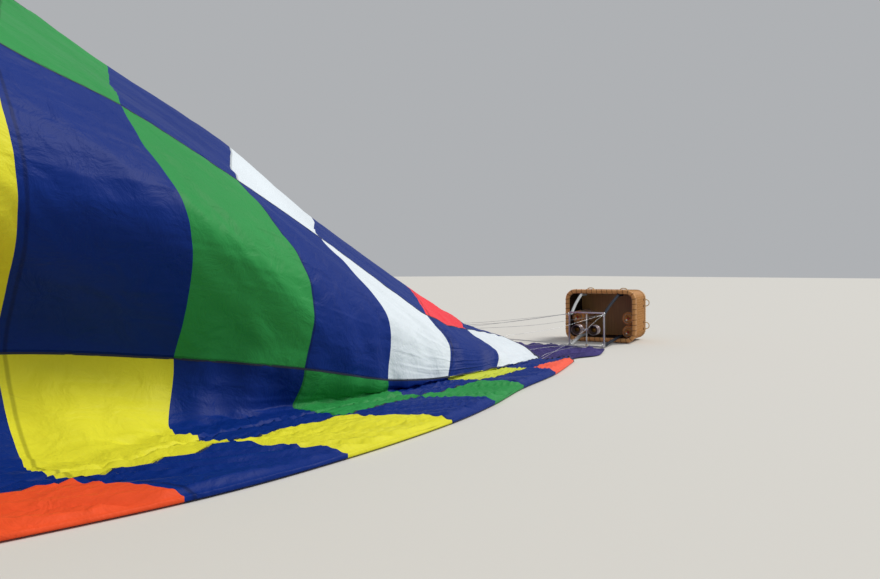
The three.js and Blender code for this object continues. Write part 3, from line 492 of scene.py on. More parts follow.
def dome(edge, t):
    """The vent: from the edge of the gores to the apex, flat in the middle. Its distance behind the
    apex falls with the 1.6th power of what is left of the way."""
    t = t[:, None, None]
    p = edge[None] * (1 - t) + APEX * t
    p[:, :, 0] = APEX[0] + (edge[None, :, 0] - APEX[0]) * (np.clip(1 - t[:, :, 0] / 0.86, 0, 1) ** 1.6)
    return p


strips = []
for side, (grown, _) in cloth.items():
    out = normals_of(grown) * (-side)
    for part in ORDER[1:]:
        column = marks[part][0]
        over = dome(grown[-1:, column], np.linspace(0.04, 0.9, 24))[:, 0] - [0.006, 0, 0]
        path = np.concatenate([grown[:, column], over])
        up = np.concatenate([out[:, column], np.repeat([[-1.0, 0, 0]], len(over), axis=0)])
        strips.append(flat_strip(path, up, TAPE_WIDE, 0.004)[:: -side])
tapes = surface("load_tapes", strips, tape_finish, close_u=True, caps=True, smooth=False)
rim, rim_out = [], []
for side, (grown, _) in cloth.items():
    out = normals_of(grown) * (-side)
    way_round = slice(None) if side < 0 else slice(-2, None, -1)
    rim.append(grown[0][way_round])
    rim_out.append(out[0][way_round])
hem_strip = flat_strip(np.concatenate(rim), np.concatenate(rim_out), 0.05, 0.005)
hem = surface("mouth_hem", hem_strip, tape_finish, close_u=True, close_v=True, smooth=False)

# ---- Parachute vent and crown ring ----
# The crown is closed by a round panel of the same nylon, held against the tapes from inside. The
# tapes end at a ring of bent aluminium tube.
near, far = cloth[-1][0], cloth[1][0]
edges = []
for i in (-10, -1):
    out_n, out_f = normals_of(near)[i], -normals_of(far)[i]
    edges.append(np.concatenate([near[i] - out_n * 0.012, (far[i] - out_f * 0.012)[-2:0:-1]]))
vent_rows = np.concatenate([edges[0][None], dome(edges[1], np.linspace(0, 0.998, 40))])
index = []
for part in ORDER:
    a, b = marks[part]
    index += [PLACE[part if part in PLACE else part + "_near"] % 12] * (b - a)
round_way = index + [PLACE["bottom"] % 12] + [(8 - (i if i < 9 else i - 12)) % 12 for i in index[1:]][::-1]
places = np.array(round_way[:vent_rows.shape[1]], float)[None, :, None]
turn_uv = places + np.zeros((len(vent_rows), 1, 1)) + 0.5
vent_uv = np.concatenate([np.zeros_like(turn_uv), turn_uv], axis=2)
by_place = {v % 12: k for k, v in PLACE.items()}
vent_finish = ripstop("ripstop_nylon_vent", [CLOTH[panel_colour(by_place[i], 18)] for i in range(12)], 12)
vent = surface("vent_panel", vent_rows[:, ::-1], vent_finish, uv=vent_uv[:, ::-1], close_u=True, caps="last")
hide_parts("parachute_vent")


def brushed(name, code, roughness, streak=(300.0, 300.0, 6.0)):
    """Metal worn or brushed along one way: fine streaks in the roughness and a faint bump."""
    def streaks(tree):
        where = add(tree, "ShaderNodeTexCoord").outputs["Object"]
        drawn = add(tree, "ShaderNodeMapping", {0: where, "Scale": streak})
        return add(tree, "ShaderNodeTexNoise", {0: drawn.outputs[0], "Scale": 1.0, "Detail": 3.0}).outputs[0]

    def rough(tree):
        spread = {0: streaks(tree), 3: roughness * 0.75, 4: roughness * 1.3}
        return add(tree, "ShaderNodeMapRange", spread).outputs[0]

    return finish_of(name, code, rough, metallic=1.0, bump=lambda tree: (streaks(tree), 0.0004))


def refinish(node, finish):
    """Gives a CAD node whose shape is right its real finish."""
    NODES[node].data.materials.clear()
    NODES[node].data.materials.append(finish)


alloy = brushed("anodised_aluminium", "c4c8cc", 0.38)
steel = brushed("brushed_stainless_steel", "c9ccd0", 0.30)
refinish("crown_ring", alloy)

# ---- Skirt ----
# The skirt of heat-proof aramid cloth hangs from the mouth and lies crumpled on the ground as far
# as the burner frame. It is sewn to the mouth and hemmed.
SKIRT = np.array([
    [[-800, -2250], [-800, -1000], [-800, 1000], [-800, 2250]],
    [[-350, -2500], [-350, -1000], [-350, 1000], [-350, 2500]],
    [[20, -2750], [20, -1000], [20, 1000], [20, 2750]],
    [[450, -2650], [450, -1050], [420, 1000], [300, 2700]],
    [[1080, -2560], [900, -1100], [700, 1000], [450, 2650]],
    [[1940, -1880], [1575, -1190], [940, 0], [600, 2600]],
]) / 1000
SKIRT_WIDE, SKIRT_ROWS = 5.2, 5
across = evenly(smooth_line(SKIRT, np.linspace(0, 3, 61)), np.linspace(0, 1, 201))
flat = smooth_line(across.transpose(1, 0, 2), np.linspace(0, SKIRT_ROWS, 121)).transpose(1, 0, 2)
s, v = np.meshgrid(np.linspace(0, SKIRT_WIDE, 201), np.linspace(0, SKIRT_ROWS, 121))
crumple = 0.085 * (0.62 - np.abs(lattice(s / 0.34 + 0.6 * lattice(s / 0.9, v / 1.6, 71), v / 1.1, 72)))
crumple += 0.022 * lattice(s / 0.13 + 0.4 * v, v / 0.5, 73) + 0.012 * lattice(s / 0.07, v / 0.16, 74)
lie = 0.014 * (1 - ramp(v, 2.0, 2.6)) + 0.004
free = ramp(v, 1.6, 2.8) * ramp(s, 0, 0.12) * ramp(SKIRT_WIDE - s, 0, 0.12)
height = lie + np.maximum(crumple, 0.0) * (0.12 + 0.88 * free)
skirt_points = np.concatenate([flat + [MOUTH_X, 0], height[:, :, None]], axis=2)
skirt_points[:, :, 0] += 0.03 * lattice(s / 0.3, v, 75) * ramp(v, 4.0, 5.0)
skirt_points[:, :, 2] = np.where(v < 1.9, np.minimum(skirt_points[:, :, 2], 0.05), skirt_points[:, :, 2])


def weave_bump(scale, distance):
    """Crossed threads: two bands of waves, one along each way of the cloth, 0.31 m / scale apart. At
    a scale of 120 that is 2.6 mm, coarser than the real threads, so that they show."""
    def build(tree):
        where = add(tree, "ShaderNodeTexCoord").outputs["Object"]
        one = add(tree, "ShaderNodeTexWave", {0: where, "Scale": scale}, bands_direction="X")
        two = add(tree, "ShaderNodeTexWave", {0: where, "Scale": scale}, bands_direction="Y")
        both = add(tree, "ShaderNodeMath", {0: one.outputs[1], 1: two.outputs[1]}, operation="ADD")
        soft = add(tree, "ShaderNodeTexNoise", {0: where, "Scale": 9.0, "Detail": 5.0})
        mixed = {0: soft.outputs[0], 1: 6.0, 2: both.outputs[0]}
        return add(tree, "ShaderNodeMath", mixed, operation="MULTIPLY_ADD").outputs[0], distance
    return build


def mottled(dark, light, scale):
    """A colour that wanders between two near tones."""
    def build(tree):
        where = add(tree, "ShaderNodeTexCoord").outputs["Object"]
        patch = add(tree, "ShaderNodeTexNoise", {0: where, "Scale": scale, "Detail": 5.0, "Roughness": 0.6})
        tones = {0: patch.outputs[0], 6: linear(dark), 7: linear(light)}
        return add(tree, "ShaderNodeMix", tones, data_type="RGBA").outputs[2]
    return build


aramid = finish_of("aramid_cloth", mottled("1a1c52", "5a4e9c", 1.1), 0.78, bump=weave_bump(120.0, 0.002),
                   Specular_IOR_Level=0.2)
skirt = surface("skirt_cloth", skirt_points, aramid)
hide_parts("skirt")

# ---- Basket frame of reference ----
# The basket lies on its side, turned on the ground. Its own axes run from the opening to the
# bottom, across, and up.
TURN = math.radians(29)
WIDE, TALL, DEEP, LIFT, WALL, CORNER = 1.55, 1.122, 1.120, 0.028, 0.035, 0.2
MIDDLE = LIFT + TALL / 2


def placed(p):
    """Points of the basket's own axes turned by 29 degrees and moved to its place."""
    x, y, z = p[..., 0], p[..., 1], p[..., 2]
    return np.stack([MOUTH_X + 2.96 + x * math.cos(TURN) - y * math.sin(TURN),
                     -0.79 + x * math.sin(TURN) + y * math.cos(TURN), z], axis=-1)


def around(count):
    """Angles spaced evenly round a full turn."""
    return np.linspace(0, 2 * math.pi, count, endpoint=False)


def rounded(radius, wide, tall, count):
    """Points spaced evenly round a rounded rectangle seen along x, each with its outward way:
    four straight runs and four quarter circles, joined by their own lengths."""
    lines = []
    for sy, sz, start in ((1, 1, 0), (-1, 1, 90), (-1, -1, 180), (1, -1, 270)):
        a = np.radians(start + np.linspace(0, 90, 25))
        y = sy * (wide / 2 - radius) + radius * np.cos(a)
        z = sz * (tall / 2 - radius) + radius * np.sin(a)
        lines.append(np.stack([y, z], 1))
    loop = np.concatenate(lines + [lines[0][:1]])
    loop = evenly(loop[None], np.linspace(0, 1, count + 1))[0][:-1]
    tangent = np.roll(loop, -1, axis=0) - np.roll(loop, 1, axis=0)
    tangent /= np.linalg.norm(tangent, axis=1, keepdims=True)
    return loop, np.stack([tangent[:, 1], -tangent[:, 0]], axis=1)


def carried(loop, way, profile_out, profile_x):
    """A profile of (outward distance, x) carried round a loop: [round the loop, along the profile]."""
    yz = loop[:, None] + way[:, None] * profile_out[..., None]
    x = np.broadcast_to(profile_x, yz.shape[:2])
    return placed(np.concatenate([x[..., None], yz + [0, MIDDLE]], axis=2))


# ---- Wicker walls ----
# Willow rods woven in and out of upright cane stakes, 60 mm apart here. Each band of weave is
# 18 mm high, coarser than the real rods so that it shows.
STAKE, BAND = 0.06, 0.018
BANDS = round(DEEP / BAND)


def wicker(tree, dark="8a5526", light="d9a05c"):
    """Light and dark rods: a tone for each band and place, with darker gaps."""
    uv = add(tree, "ShaderNodeUVMap", uv_map="UVMap").outputs[0]
    spread = add(tree, "ShaderNodeMapping", {0: uv, "Scale": (3.0, 1.0, 1.0)})
    rods = add(tree, "ShaderNodeTexNoise", {0: spread.outputs[0], "Scale": 1.0, "Detail": 3.0})
    place = add(tree, "ShaderNodeSeparateXYZ", {0: uv})
    near = add(tree, "ShaderNodeMath", {0: place.outputs[1], 1: 0.5}, operation="PINGPONG")
    gap = add(tree, "ShaderNodeMapRange", {0: near.outputs[0], 1: 0.0, 2: 0.14, 3: 0.35, 4: 1.0})
    tones = {0: rods.outputs[0], 6: linear(dark), 7: linear(light)}
    tone = add(tree, "ShaderNodeMix", tones, data_type="RGBA")
    darker = {"Value": gap.outputs[0], "Color": tone.outputs[2]}
    return add(tree, "ShaderNodeHueSaturation", darker).outputs[0]


def rod_relief(tree):
    """The fine lengthwise grain of the rods."""
    uv = add(tree, "ShaderNodeUVMap", uv_map="UVMap").outputs[0]
    fine = add(tree, "ShaderNodeMapping", {0: uv, "Scale": (6.0, 9.0, 1.0)})
    return add(tree, "ShaderNodeTexNoise", {0: fine.outputs[0], "Scale": 1.0, "Detail": 4.0}).outputs[0], 0.003


willow = finish_of("woven_willow", wicker, 0.62, bump=rod_relief, Specular_IOR_Level=0.35)
# Inside, the rods are painted much darker than outside: painted shade for the shaded inside of the basket.
painted_shade_willow = finish_of("willow_with_painted_shade", lambda tree: wicker(tree, "1e1612", "4a3424"), 0.7, bump=rod_relief,
                    Specular_IOR_Level=0.2)


def woven(name, radius, wide, tall, outward, round_count, per_band):
    """One face of the wall. Height is a wave along the loop that turns over at each band, times the
    round back of a rod across the band."""
    loop, way = rounded(radius, wide, tall, round_count)
    run = np.arange(round_count) / round_count
    stakes = round(2 * (wide + tall) / STAKE / 2) * 2
    x = np.linspace(0, BANDS, BANDS * per_band + 1)
    band = np.minimum(np.floor(x), BANDS - 1)[None, :]
    over = np.cos(math.pi * stakes * run[:, None] + math.pi * band)
    back = np.abs(np.sin(math.pi * x))[None, :] ** 0.6
    height = (0.0045 * over * back + 0.003 * back - 0.0065) * outward
    height[:, [0, -1]] = 0
    points = carried(loop, way, height, x * DEEP / BANDS)
    uv = np.stack(np.broadcast_arrays(run[:, None] * stakes, x[None, :]), axis=2)
    return points if outward > 0 else points[:, ::-1], uv if outward > 0 else uv[:, ::-1]


for name, args in {"wicker_outside": (CORNER, WIDE, TALL, 1, 320, 3),
                   "wicker_inside": (CORNER - WALL, WIDE - 2 * WALL, TALL - 2 * WALL, -1, 240, 2)}.items():
    points, uv = woven(name, *args)
    # The inside face takes the darker willow, which is painted shade.
    wall = surface(name, points, willow if name == "wicker_outside" else painted_shade_willow, uv=uv, close_v=True)
    if name == "wicker_outside":
        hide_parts("basket_walls")

# ---- Rim padding ----
# A roll of foam in suede is laced over the basket's top edge.
ROLL, ROLL_X = 0.0475, -0.0003 - 0.045 * math.cos(math.radians(40))
hide = finish_of("suede", mottled("b0743c", "dba566", 6.0), 0.82, bump=pebbled(70.0, 6.0, 0.002),
                 Sheen_Weight=0.3)
loop, way = rounded(CORNER, WIDE, TALL, 300)
a = np.radians(np.linspace(36, 324, 25))[None, :]
run = np.arange(300)[:, None] / 300
gathers = 0.001 * np.cos(run * 2 * math.pi * 80) * (np.abs(a - math.pi) > 1.9)
puff = ROLL + 0.0016 * lattice(run * 90, a * 1.5, 81) + gathers
roll = carried(loop, way, -WALL / 2 + puff * np.sin(a), ROLL_X + puff * np.cos(a))
rim_roll = surface("rim_roll", roll[:, ::-1], hide, close_v=True, close_u=True)
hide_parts("rim_padding")


def solid(name, grids, material, **more):
    """A surface, or several in one mesh, of closed rings whose two ends are capped."""
    return surface(name, grids, material, close_u=True, caps=True, **more)


def tube(path, radius, sides=12, upward=(0, 0, 1), closed=False, strands=0, pitch=0.06):
    """A round section carried along a path. Strands make lobes on it that turn once in each pitch.
    The section's first way is across the path and the direction upward."""
    path = np.array(path, float)
    along = np.roll(path, -1, axis=0) - np.roll(path, 1, axis=0) if closed else np.gradient(path, axis=0)
    along /= np.linalg.norm(along, axis=1, keepdims=True)
    aside = np.cross(along, upward)
    aside /= np.linalg.norm(aside, axis=1, keepdims=True)
    above = np.cross(along, aside)
    a = around(sides)[None, :]
    size = np.broadcast_to(np.array(radius, float).reshape(-1, 1), (len(path), sides))
    if strands:
        step = np.linalg.norm(np.diff(path, axis=0), axis=1)
        run = np.concatenate([[0], np.cumsum(step)])[:, None]
        lobe = np.abs(np.cos(strands / 2 * (a - 2 * math.pi * run / pitch))) ** 0.6
        size = size * (0.72 + 0.28 * lobe)
    circle = np.cos(a)[..., None] * aside[:, None] + np.sin(a)[..., None] * above[:, None]
    return path[:, None] + size[..., None] * circle


def turned(profile, centre, axis=(1, 0, 0), sides=32):
    """A profile of (distance along the axis, radius) turned round the axis at a centre, all of it
    in the basket's axes, and set in place."""
    profile, axis = np.array(profile, float), np.array(axis, float)
    aside = np.cross(axis, (0, 0, 1) if abs(axis[2]) < 0.9 else (1, 0, 0))
    aside /= np.linalg.norm(aside)
    a = around(sides)
    ring = np.cos(a)[:, None] * aside + np.sin(a)[:, None] * np.cross(axis, aside)
    return placed(np.array(centre, float) + profile[:, :1, None] * axis + profile[:, 1:, None] * ring)


def beam(low, high, edge, axis=0):
    """A bar with bevelled edges between two corners: eight-sided rings along one axis, narrower by
    the bevel at both ends."""
    low, high = np.minimum(low, high), np.maximum(low, high)
    middle, half_size = (low + high) / 2, (high - low) / 2
    u, v = (axis + 1) % 3, (axis + 2) % 3
    rings = np.zeros((4, 8, 3))
    for i, (place, inset) in enumerate(((-1, edge), (-1, 0), (1, 0), (1, edge))):
        w, h = half_size[u] - inset, half_size[v] - inset
        rings[i, :, u] = [w, w, w - edge, edge - w, -w, -w, edge - w, w - edge]
        rings[i, :, v] = [edge - h, h - edge, h, h, h - edge, edge - h, -h, -h]
        rings[i, :, axis] = place * (half_size[axis] - (0 if inset else edge))
    return rings + middle


def route(points, count):
    """A smooth line through the points, cut into equal lengths."""
    fine = smooth_line(np.array(points, float)[None], np.linspace(0, len(points) - 1, 40 * len(points)))
    return evenly(fine, np.linspace(0, 1, count))[0]


# Leather thongs hold the roll: each goes round it and through the wicker.
THONG = 0.0505
thong_finish = finish_of("oiled_leather", mottled("5a3418", "7d4d26", 9.0), 0.55, Specular_IOR_Level=0.4)
thongs = []
ends = a[0, 2:-2:2]
tilt = np.linspace(-0.012, 0.012, len(ends))[:, None]
for i in range(0, 300, 7):
    across_way = np.array([-way[i, 1], way[i, 0]])
    yz = loop[i] + way[i] * (-WALL / 2 + THONG * np.sin(ends))[:, None] + across_way * tilt + [0, MIDDLE]
    centre = np.concatenate([(ROLL_X + THONG * np.cos(ends))[:, None], yz], axis=1)
    radial = centre - np.array([-0.0345, *(loop[i] - way[i] * WALL / 2 + [0, MIDDLE])])
    up = radial / np.linalg.norm(radial, axis=1, keepdims=True)
    thongs.append(placed(flat_strip(centre, up, 0.012, 0.004, -0.002)))
lacing = solid("rim_thongs", thongs, thong_finish)

# ---- Border, band, floor and runners ----
# The wicker ends in a border of twisted cane. A band of rawhide is laced round the bottom edge, and
# three ash runners are bolted under the plywood floor.
loop, way = rounded(CORNER - WALL / 2, WIDE - WALL, TALL - WALL, 720)
foot_path = np.concatenate([np.full((720, 1), DEEP - 0.004), loop + [0, MIDDLE]], axis=1)
cane = finish_of("twisted_cane", mottled("9a6a34", "d8a868", 22.0), 0.5, Specular_IOR_Level=0.4)
border = surface("cane_border", placed(tube(foot_path, 0.021, 12, (1, 0, 0), True, 3, 0.085)), cane,
                 close_u=True, close_v=True)
loop, way = rounded(CORNER, WIDE, TALL, 480)
run = np.arange(480)[:, None]
band_x = np.array([0, 0, 0.003, 0.055, 0.108, 0.111, 0.111, 0.108, 0.055, 0.003])[None, :] + DEEP - 0.11
band_out = np.array([0.001, 0.004, 0.0065, 0.0065, 0.0065, 0.004, 0.001, 0.001, 0.001, 0.001])[None, :]
dimple = 0.0012 * lattice(run / 9.0 + band_x * 3, band_x * 40, 91)
rawhide = finish_of("rawhide", mottled("a8743e", "e0b478", 7.0), 0.42, bump=pebbled(40.0, 6.0, 0.003),
                    Coat_Weight=0.15, Coat_Roughness=0.3)
band_grid = carried(loop, way, band_out + dimple * (band_out > 0.002), band_x)
hide_band = surface("rawhide_band", band_grid, rawhide, close_u=True, close_v=True)
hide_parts("base_band")
# Each stitch goes over one edge of the band: its run along x, its share of the lean, its height.
STITCH_RUN = np.array([[-0.022, 0, 0], [-0.012, 0, 0], [0.012, 0, 0], [0.02, 0, 0]])
STITCH_LEAN = np.array([[-1.0], [-0.6], [0.6], [1.0]])
UPPER, LOWER = (np.array(h)[:, None] for h in ([0.0, 0.0075, 0.0095, 0.004], [0.004, 0.0095, 0.006, -0.004]))
stitches = []
for i in range(0, 480, 5):
    out3, along3 = np.array([0, *way[i]]), np.array([0, -way[i, 1], way[i, 0]])
    for x, lean, rise in ((DEEP - 0.108, 0.008, UPPER), (DEEP - 0.004, -0.008, LOWER)):
        centre = np.array([x, *(loop[i] + [0, MIDDLE])])
        path = centre + STITCH_RUN + STITCH_LEAN * along3 * lean + out3 * rise
        stitches.append(placed(flat_strip(path, np.repeat([out3], 4, axis=0), 0.006, 0.003, -0.002)))
lace = solid("band_lacing", stitches, thong_finish)


def grain(dark, light, axis, spacing=0.006):
    """Wood: noise drawn out along the grain, with rings at their real spacing."""
    def build(tree):
        scale = [1 / spacing] * 3
        scale[axis] = 6.0
        where = add(tree, "ShaderNodeTexCoord").outputs["Object"]
        laid = {0: where, "Rotation": (0, 0, 0 if axis == 2 else -TURN)}
        straight = add(tree, "ShaderNodeMapping", laid, vector_type="TEXTURE")
        drawn = add(tree, "ShaderNodeMapping", {0: straight.outputs[0], "Scale": scale})
        lines = {0: drawn.outputs[0], "Scale": 0.35, "Detail": 5.0, "Distortion": 0.3}
        fibre = add(tree, "ShaderNodeTexNoise", lines)
        tones = {0: fibre.outputs[0], 6: linear(dark), 7: linear(light)}
        return add(tree, "ShaderNodeMix", tones, data_type="RGBA").outputs[2]
    return build


ash = finish_of("varnished_ash", grain("7a5228", "cfa468", 1), 0.38, Coat_Weight=0.3, Coat_Roughness=0.25)
plywood = finish_of("varnished_plywood", grain("8a6234", "c79a5c", 2), 0.4, Coat_Weight=0.25,
                    Coat_Roughness=0.3)
refinish("basket_floor", plywood)
RUNNER_SPACING, RUNNER_HALF = 0.34, 0.6
bolts = []
for i in (1, 2, 3):
    z = MIDDLE + (i - 2) * RUNNER_SPACING
    bar_rings = beam((DEEP - 0.0197, -RUNNER_HALF, z - 0.032), (DEEP + 0.0283, RUNNER_HALF, z + 0.032), 0.006,
                     axis=1)
    y = np.array([-0.6, -0.594, -0.56, -0.4, 0, 0.4, 0.56, 0.594, 0.6])
    rise = np.array([0.026, 0.018, 0, 0, 0, 0, 0, 0.018, 0.026])
    section = bar_rings[1][None] + np.zeros((len(y), 1, 1))
    section[:, :, 1] = y[:, None]
    outer = section[:, :, 0] > DEEP
    section[:, :, 0] -= outer * rise[:, None]
    runner = solid(f"ash_runner_{i}", placed(section), ash, smooth=False)
    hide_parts(f"skid_{i}")
    for y0 in (-0.48, -0.16, 0.16, 0.48):
        head = [(0.0, 0.013), (0.002, 0.0125), (0.003, 0.007), (0.004, 0.006)]
        bolts.append(turned(head, (DEEP + 0.0278, y0, z), sides=16))
bolt_heads = solid("runner_bolts", bolts, steel, smooth=False)

# ---- Rope handles ----
# Loops of three-strand manila rope go through the wicker, two on each of three sides. Their ends are
# spliced into the wall, where a leather collar covers them. Each has its place, its way along the
# wall and its way out of it.
HANDLES = {f"top_{i}": ((0.11, y, LIFT + TALL), (0, 1, 0), (0, 0, 1)) for i, y in ((1, 0.255), (2, -0.495))}
HANDLES |= {f"{side}_{i}": ((0.9, way_out * WIDE / 2, z), (0, 0, 1), (0, way_out, 0))
            for side, way_out in (("near", -1), ("far", 1)) for i, z in ((1, 0.86), (2, 0.33))}
HALF_GRIP = 75
manila = finish_of("manila_rope", mottled("a5834c", "e6cf9c", 60.0), 0.85, bump=pebbled(400.0, 3.0, 0.001))
collars = []
for name, (at, along, out) in HANDLES.items():
    at, along, out = np.array(at), np.array(along, float), np.array(out, float)
    reach = 0.062 if "top" in name else 0.125
    shape = np.array([(-HALF_GRIP, -16), (-HALF_GRIP, 20), (-74, 500 * reach), (-45, 900 * reach),
                      (0, 1000 * reach),
                      (45, 900 * reach), (74, 500 * reach), (HALF_GRIP, 20), (HALF_GRIP, -16)]) / 1000
    path = route(at + shape[:, :1] * along + shape[:, 1:] * out, 130)
    rope = placed(tube(path, 0.0105, 18, np.cross(along, out), strands=3, pitch=0.055))
    handle = solid(f"rope_handle_{name}", rope, manila)
    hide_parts(f"handle_{name}")
    for k in (-HALF_GRIP / 1000, HALF_GRIP / 1000):
        cuff = [(-0.004, 0.024), (0.003, 0.0235), (0.007, 0.019), (0.012, 0.0135), (0.0125, 0.0125)]
        collars.append(turned(cuff, at + k * along, out, 24))
collar = solid("handle_collars", collars, thong_finish)

# ---- Fuel cylinders ----
# Four steel gas cylinders stand on the floor inside, two at each short side. Each wears a padded
# jacket of tan suede, quilted and closed with two straps. On top are a guard ring, a brass valve
# with a red hand wheel, a pipe union and a gauge.
jacket_finish = finish_of("quilted_suede_jacket", mottled("b06a30", "e0a060", 5.0), 0.8, Sheen_Weight=0.3,
                          bump=pebbled(55.0, 6.0, 0.002))
webbing = finish_of("nylon_webbing", mottled("c9b48a", "e2d2ac", 30.0), 0.6, bump=weave_bump(300.0, 0.001))
brass = brushed("turned_brass", "c39a4a", 0.32)
red_paint = finish_of("red_enamel", mottled("8f1712", "b3241a", 14.0), 0.35, Coat_Weight=0.3)
dial = finish_of("white_dial", mottled("dcdcd6", "f0f0ea", 20.0), 0.3, Coat_Weight=0.5)
TANK_X, TANK_Y, TANK_LONG, TANK_RADIUS = DEEP - 0.0443, WIDE / 2 - CORNER + 0.007, 0.93, 0.1475
NECK, STRAP_RADIUS, QUILT = TANK_LONG - 0.064, 0.152, 0.115
OUTLINE = np.array([[[0, 0.002], [0.128, 0.002], [0.141, 0.010], [TANK_RADIUS, 0.032], [TANK_RADIUS, 0.3],
                     [TANK_RADIUS, NECK - 0.074], [0.141, NECK - 0.041], [0.122, NECK - 0.016],
                     [0.104, NECK - 0.002], [0.098, NECK]]])
tank = evenly(smooth_line(OUTLINE, np.linspace(0.02, 9, 181)), np.linspace(0, 1, 220))[0]
tank_r, depth = tank[:, :1], tank[:, 1:]


def per_ring(values):
    """One value for each ring of a grid."""
    return np.array(values, float)[:, None]


def rings(y, z, depth, radius, a):
    """Rings round a cylinder's axis, by depth from its foot, radius and angle, facing outwards."""
    grid = np.broadcast_arrays(TANK_X - depth, y + radius * np.cos(a), z + radius * np.sin(a))
    return placed(np.stack(grid, axis=-1))[:, ::-1]


for i, (side, level) in enumerate(((-1, 0), (-1, 1), (1, 0), (1, 1)), 1):
    y0, z0 = side * TANK_Y, LIFT + CORNER - 0.007 + level * 0.3044
    a = around(120)[None, :]
    quilt = np.abs(np.sin(math.pi * depth / QUILT)) ** 0.45 * np.abs(np.sin(4 * a)) ** 0.45
    puckers = 0.0012 * lattice(a * 6 / math.pi * 2, depth * 14, 95 + i)
    body_r = tank_r + (0.0042 * quilt - 0.001 + puckers) * ramp(tank_r, 0.09, 0.13)
    jacket = solid(f"cylinder_jacket_{i}", rings(y0, z0, depth, body_r, a), jacket_finish)
    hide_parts(f"fuel_cylinder_{i}")
    strap_x, strap_r = per_ring([0.02, -0.02, -0.02, 0.02]), per_ring([0.0005, 0.0005, -0.003, -0.003])
    straps = [rings(y0, z0, s0 + strap_x, STRAP_RADIUS + strap_r, around(96)[None, :]) for s0 in (0.2, 0.66)]
    strap = surface(f"cylinder_straps_{i}", straps, webbing, close_u=True, close_v=True, smooth=False)
    a = around(96)[None, :]
    window = 0.034 * ramp(np.cos(3 * a), 0.15, 0.6)
    guard_x = NECK + per_ring([-0.008, 0.062, 0.0645, 0.062, -0.008]) - window * per_ring([0, 1, 1, 1, 0])
    guard = rings(y0, z0, guard_x, per_ring([0.0995, 0.0995, 0.0985, 0.0965, 0.0965]), a)
    guard_ring = surface(f"guard_ring_{i}", guard, steel, close_u=True, close_v=True)
    stem = [(0, 0.026), (0.008, 0.026), (0.010, 0.017), (0.032, 0.016), (0.034, 0.011), (0.046, 0.010)]
    union = [(0.010, 0.011), (0.034, 0.011), (0.036, 0.015), (0.050, 0.015), (0.052, 0.009), (0.062, 0.008)]
    plug = [(0, 0.013), (0.006, 0.013), (0.008, 0.009), (0.024, 0.009)]
    foot = TANK_X - NECK + 0.002
    valve = solid(f"cylinder_valve_{i}", [turned(stem, (foot, y0, z0), (-1, 0, 0), 24),
                                          turned(union, (foot - 0.021, y0, z0), (0, 0.6, 0.8), 24),
                                          turned(plug, (foot, y0 - 0.05, z0 + 0.02), (-1, 0, 0), 20)], brass)
    lobes = around(48)[None, :]
    wheel_r = 0.026 * (1 - 0.09 * np.cos(6 * lobes) ** 2) * per_ring([0.5, 0.93, 1.0, 0.93, 0.5])
    wheel_x = NECK + per_ring([0.042, 0.043, 0.047, 0.052, 0.053])
    wheel = solid(f"hand_wheel_{i}", rings(y0, z0, wheel_x, wheel_r, lobes), red_paint)
    case = [(0, 0.016), (0.003, 0.0195), (0.014, 0.0195), (0.016, 0.017), (0.0145, 0.016), (0.0145, 0.001)]
    gauge_at = (TANK_X - NECK, y0 + 0.045, z0 - 0.035)
    gauge = solid(f"fuel_gauge_{i}", turned(case, gauge_at, (-1, 0, 0), 28), dial)

# ---- Burner frame and gimbal ----
# A frame of stainless square tube with rounded corners stands on its lower side. Lugs at the corners
# take the wires and sockets the uprights. A round bar across it carries the burners on a cross pin.
FRAME_X, FRAME_Y, FRAME_WIDE, FRAME_TALL = -1.28, -0.04, 0.77, 0.74
LUG_Y, SOCKET_Y = FRAME_WIDE / 2 - 0.015, FRAME_WIDE / 2 - 0.034
LUG_Z, SOCKET_Z = (0.052, FRAME_TALL - 0.052), (0.034, FRAME_TALL - 0.036)
loop, way = rounded(0.045, FRAME_WIDE, FRAME_TALL, 320)
side_out = np.array([-0.003, 0, 0, -0.003, -0.027, -0.03, -0.03, -0.027])[None, :]
side_x = np.array([-0.015, -0.012, 0.012, 0.015, 0.015, 0.012, -0.012, -0.015])[None, :]
yz = loop[:, None] + way[:, None] * side_out[..., None] + [FRAME_Y, FRAME_TALL / 2]
frame_grid = np.concatenate([np.broadcast_to(FRAME_X + side_x, yz.shape[:2])[..., None], yz], axis=2)
frame_tube = surface("burner_frame_tube", placed(frame_grid), steel, close_u=True, close_v=True, smooth=False)
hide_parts("burner_frame")


def block(middle, low, high, edge, axis=0):
    """A bevelled bar set in place, from two corners measured from its middle."""
    return placed(beam(np.add(middle, low), np.add(middle, high), edge, axis))


lugs, cups = [], []
for sy in (-1, 1):
    for lug_z, socket_z in zip(LUG_Z, SOCKET_Z):
        lug = (FRAME_X, FRAME_Y + sy * LUG_Y, lug_z)
        lugs.append(block(lug, (-0.049, -0.005, -0.022), (-0.013, 0.005, 0.022), 0.0015))
        lugs.append(block(lug, (-0.014, -0.018, -0.03), (0.018, 0.018, 0.03), 0.002))
        cup = [(0.0145, 0.03), (0.07, 0.03), (0.072, 0.0285), (0.07, 0.0275), (0.02, 0.0275)]
        cups.append(turned(cup, (FRAME_X, FRAME_Y + sy * SOCKET_Y, socket_z), sides=28))
frame_lugs = solid("frame_lugs", lugs, steel, smooth=False)
frame_cups = solid("upright_sockets", cups, steel)
refinish("gimbal_bar", steel)
BEARING = [(0.0305, 0.022), (0.0325, 0.024), (0.05, 0.024), (0.052, 0.018)]
seats = [turned(BEARING, (FRAME_X, FRAME_Y, z), (0, 0, way_in), 28) for z, way_in in ((0, 1), (FRAME_TALL, -1))]
gimbal_seats = solid("gimbal_bearings", seats, brass)

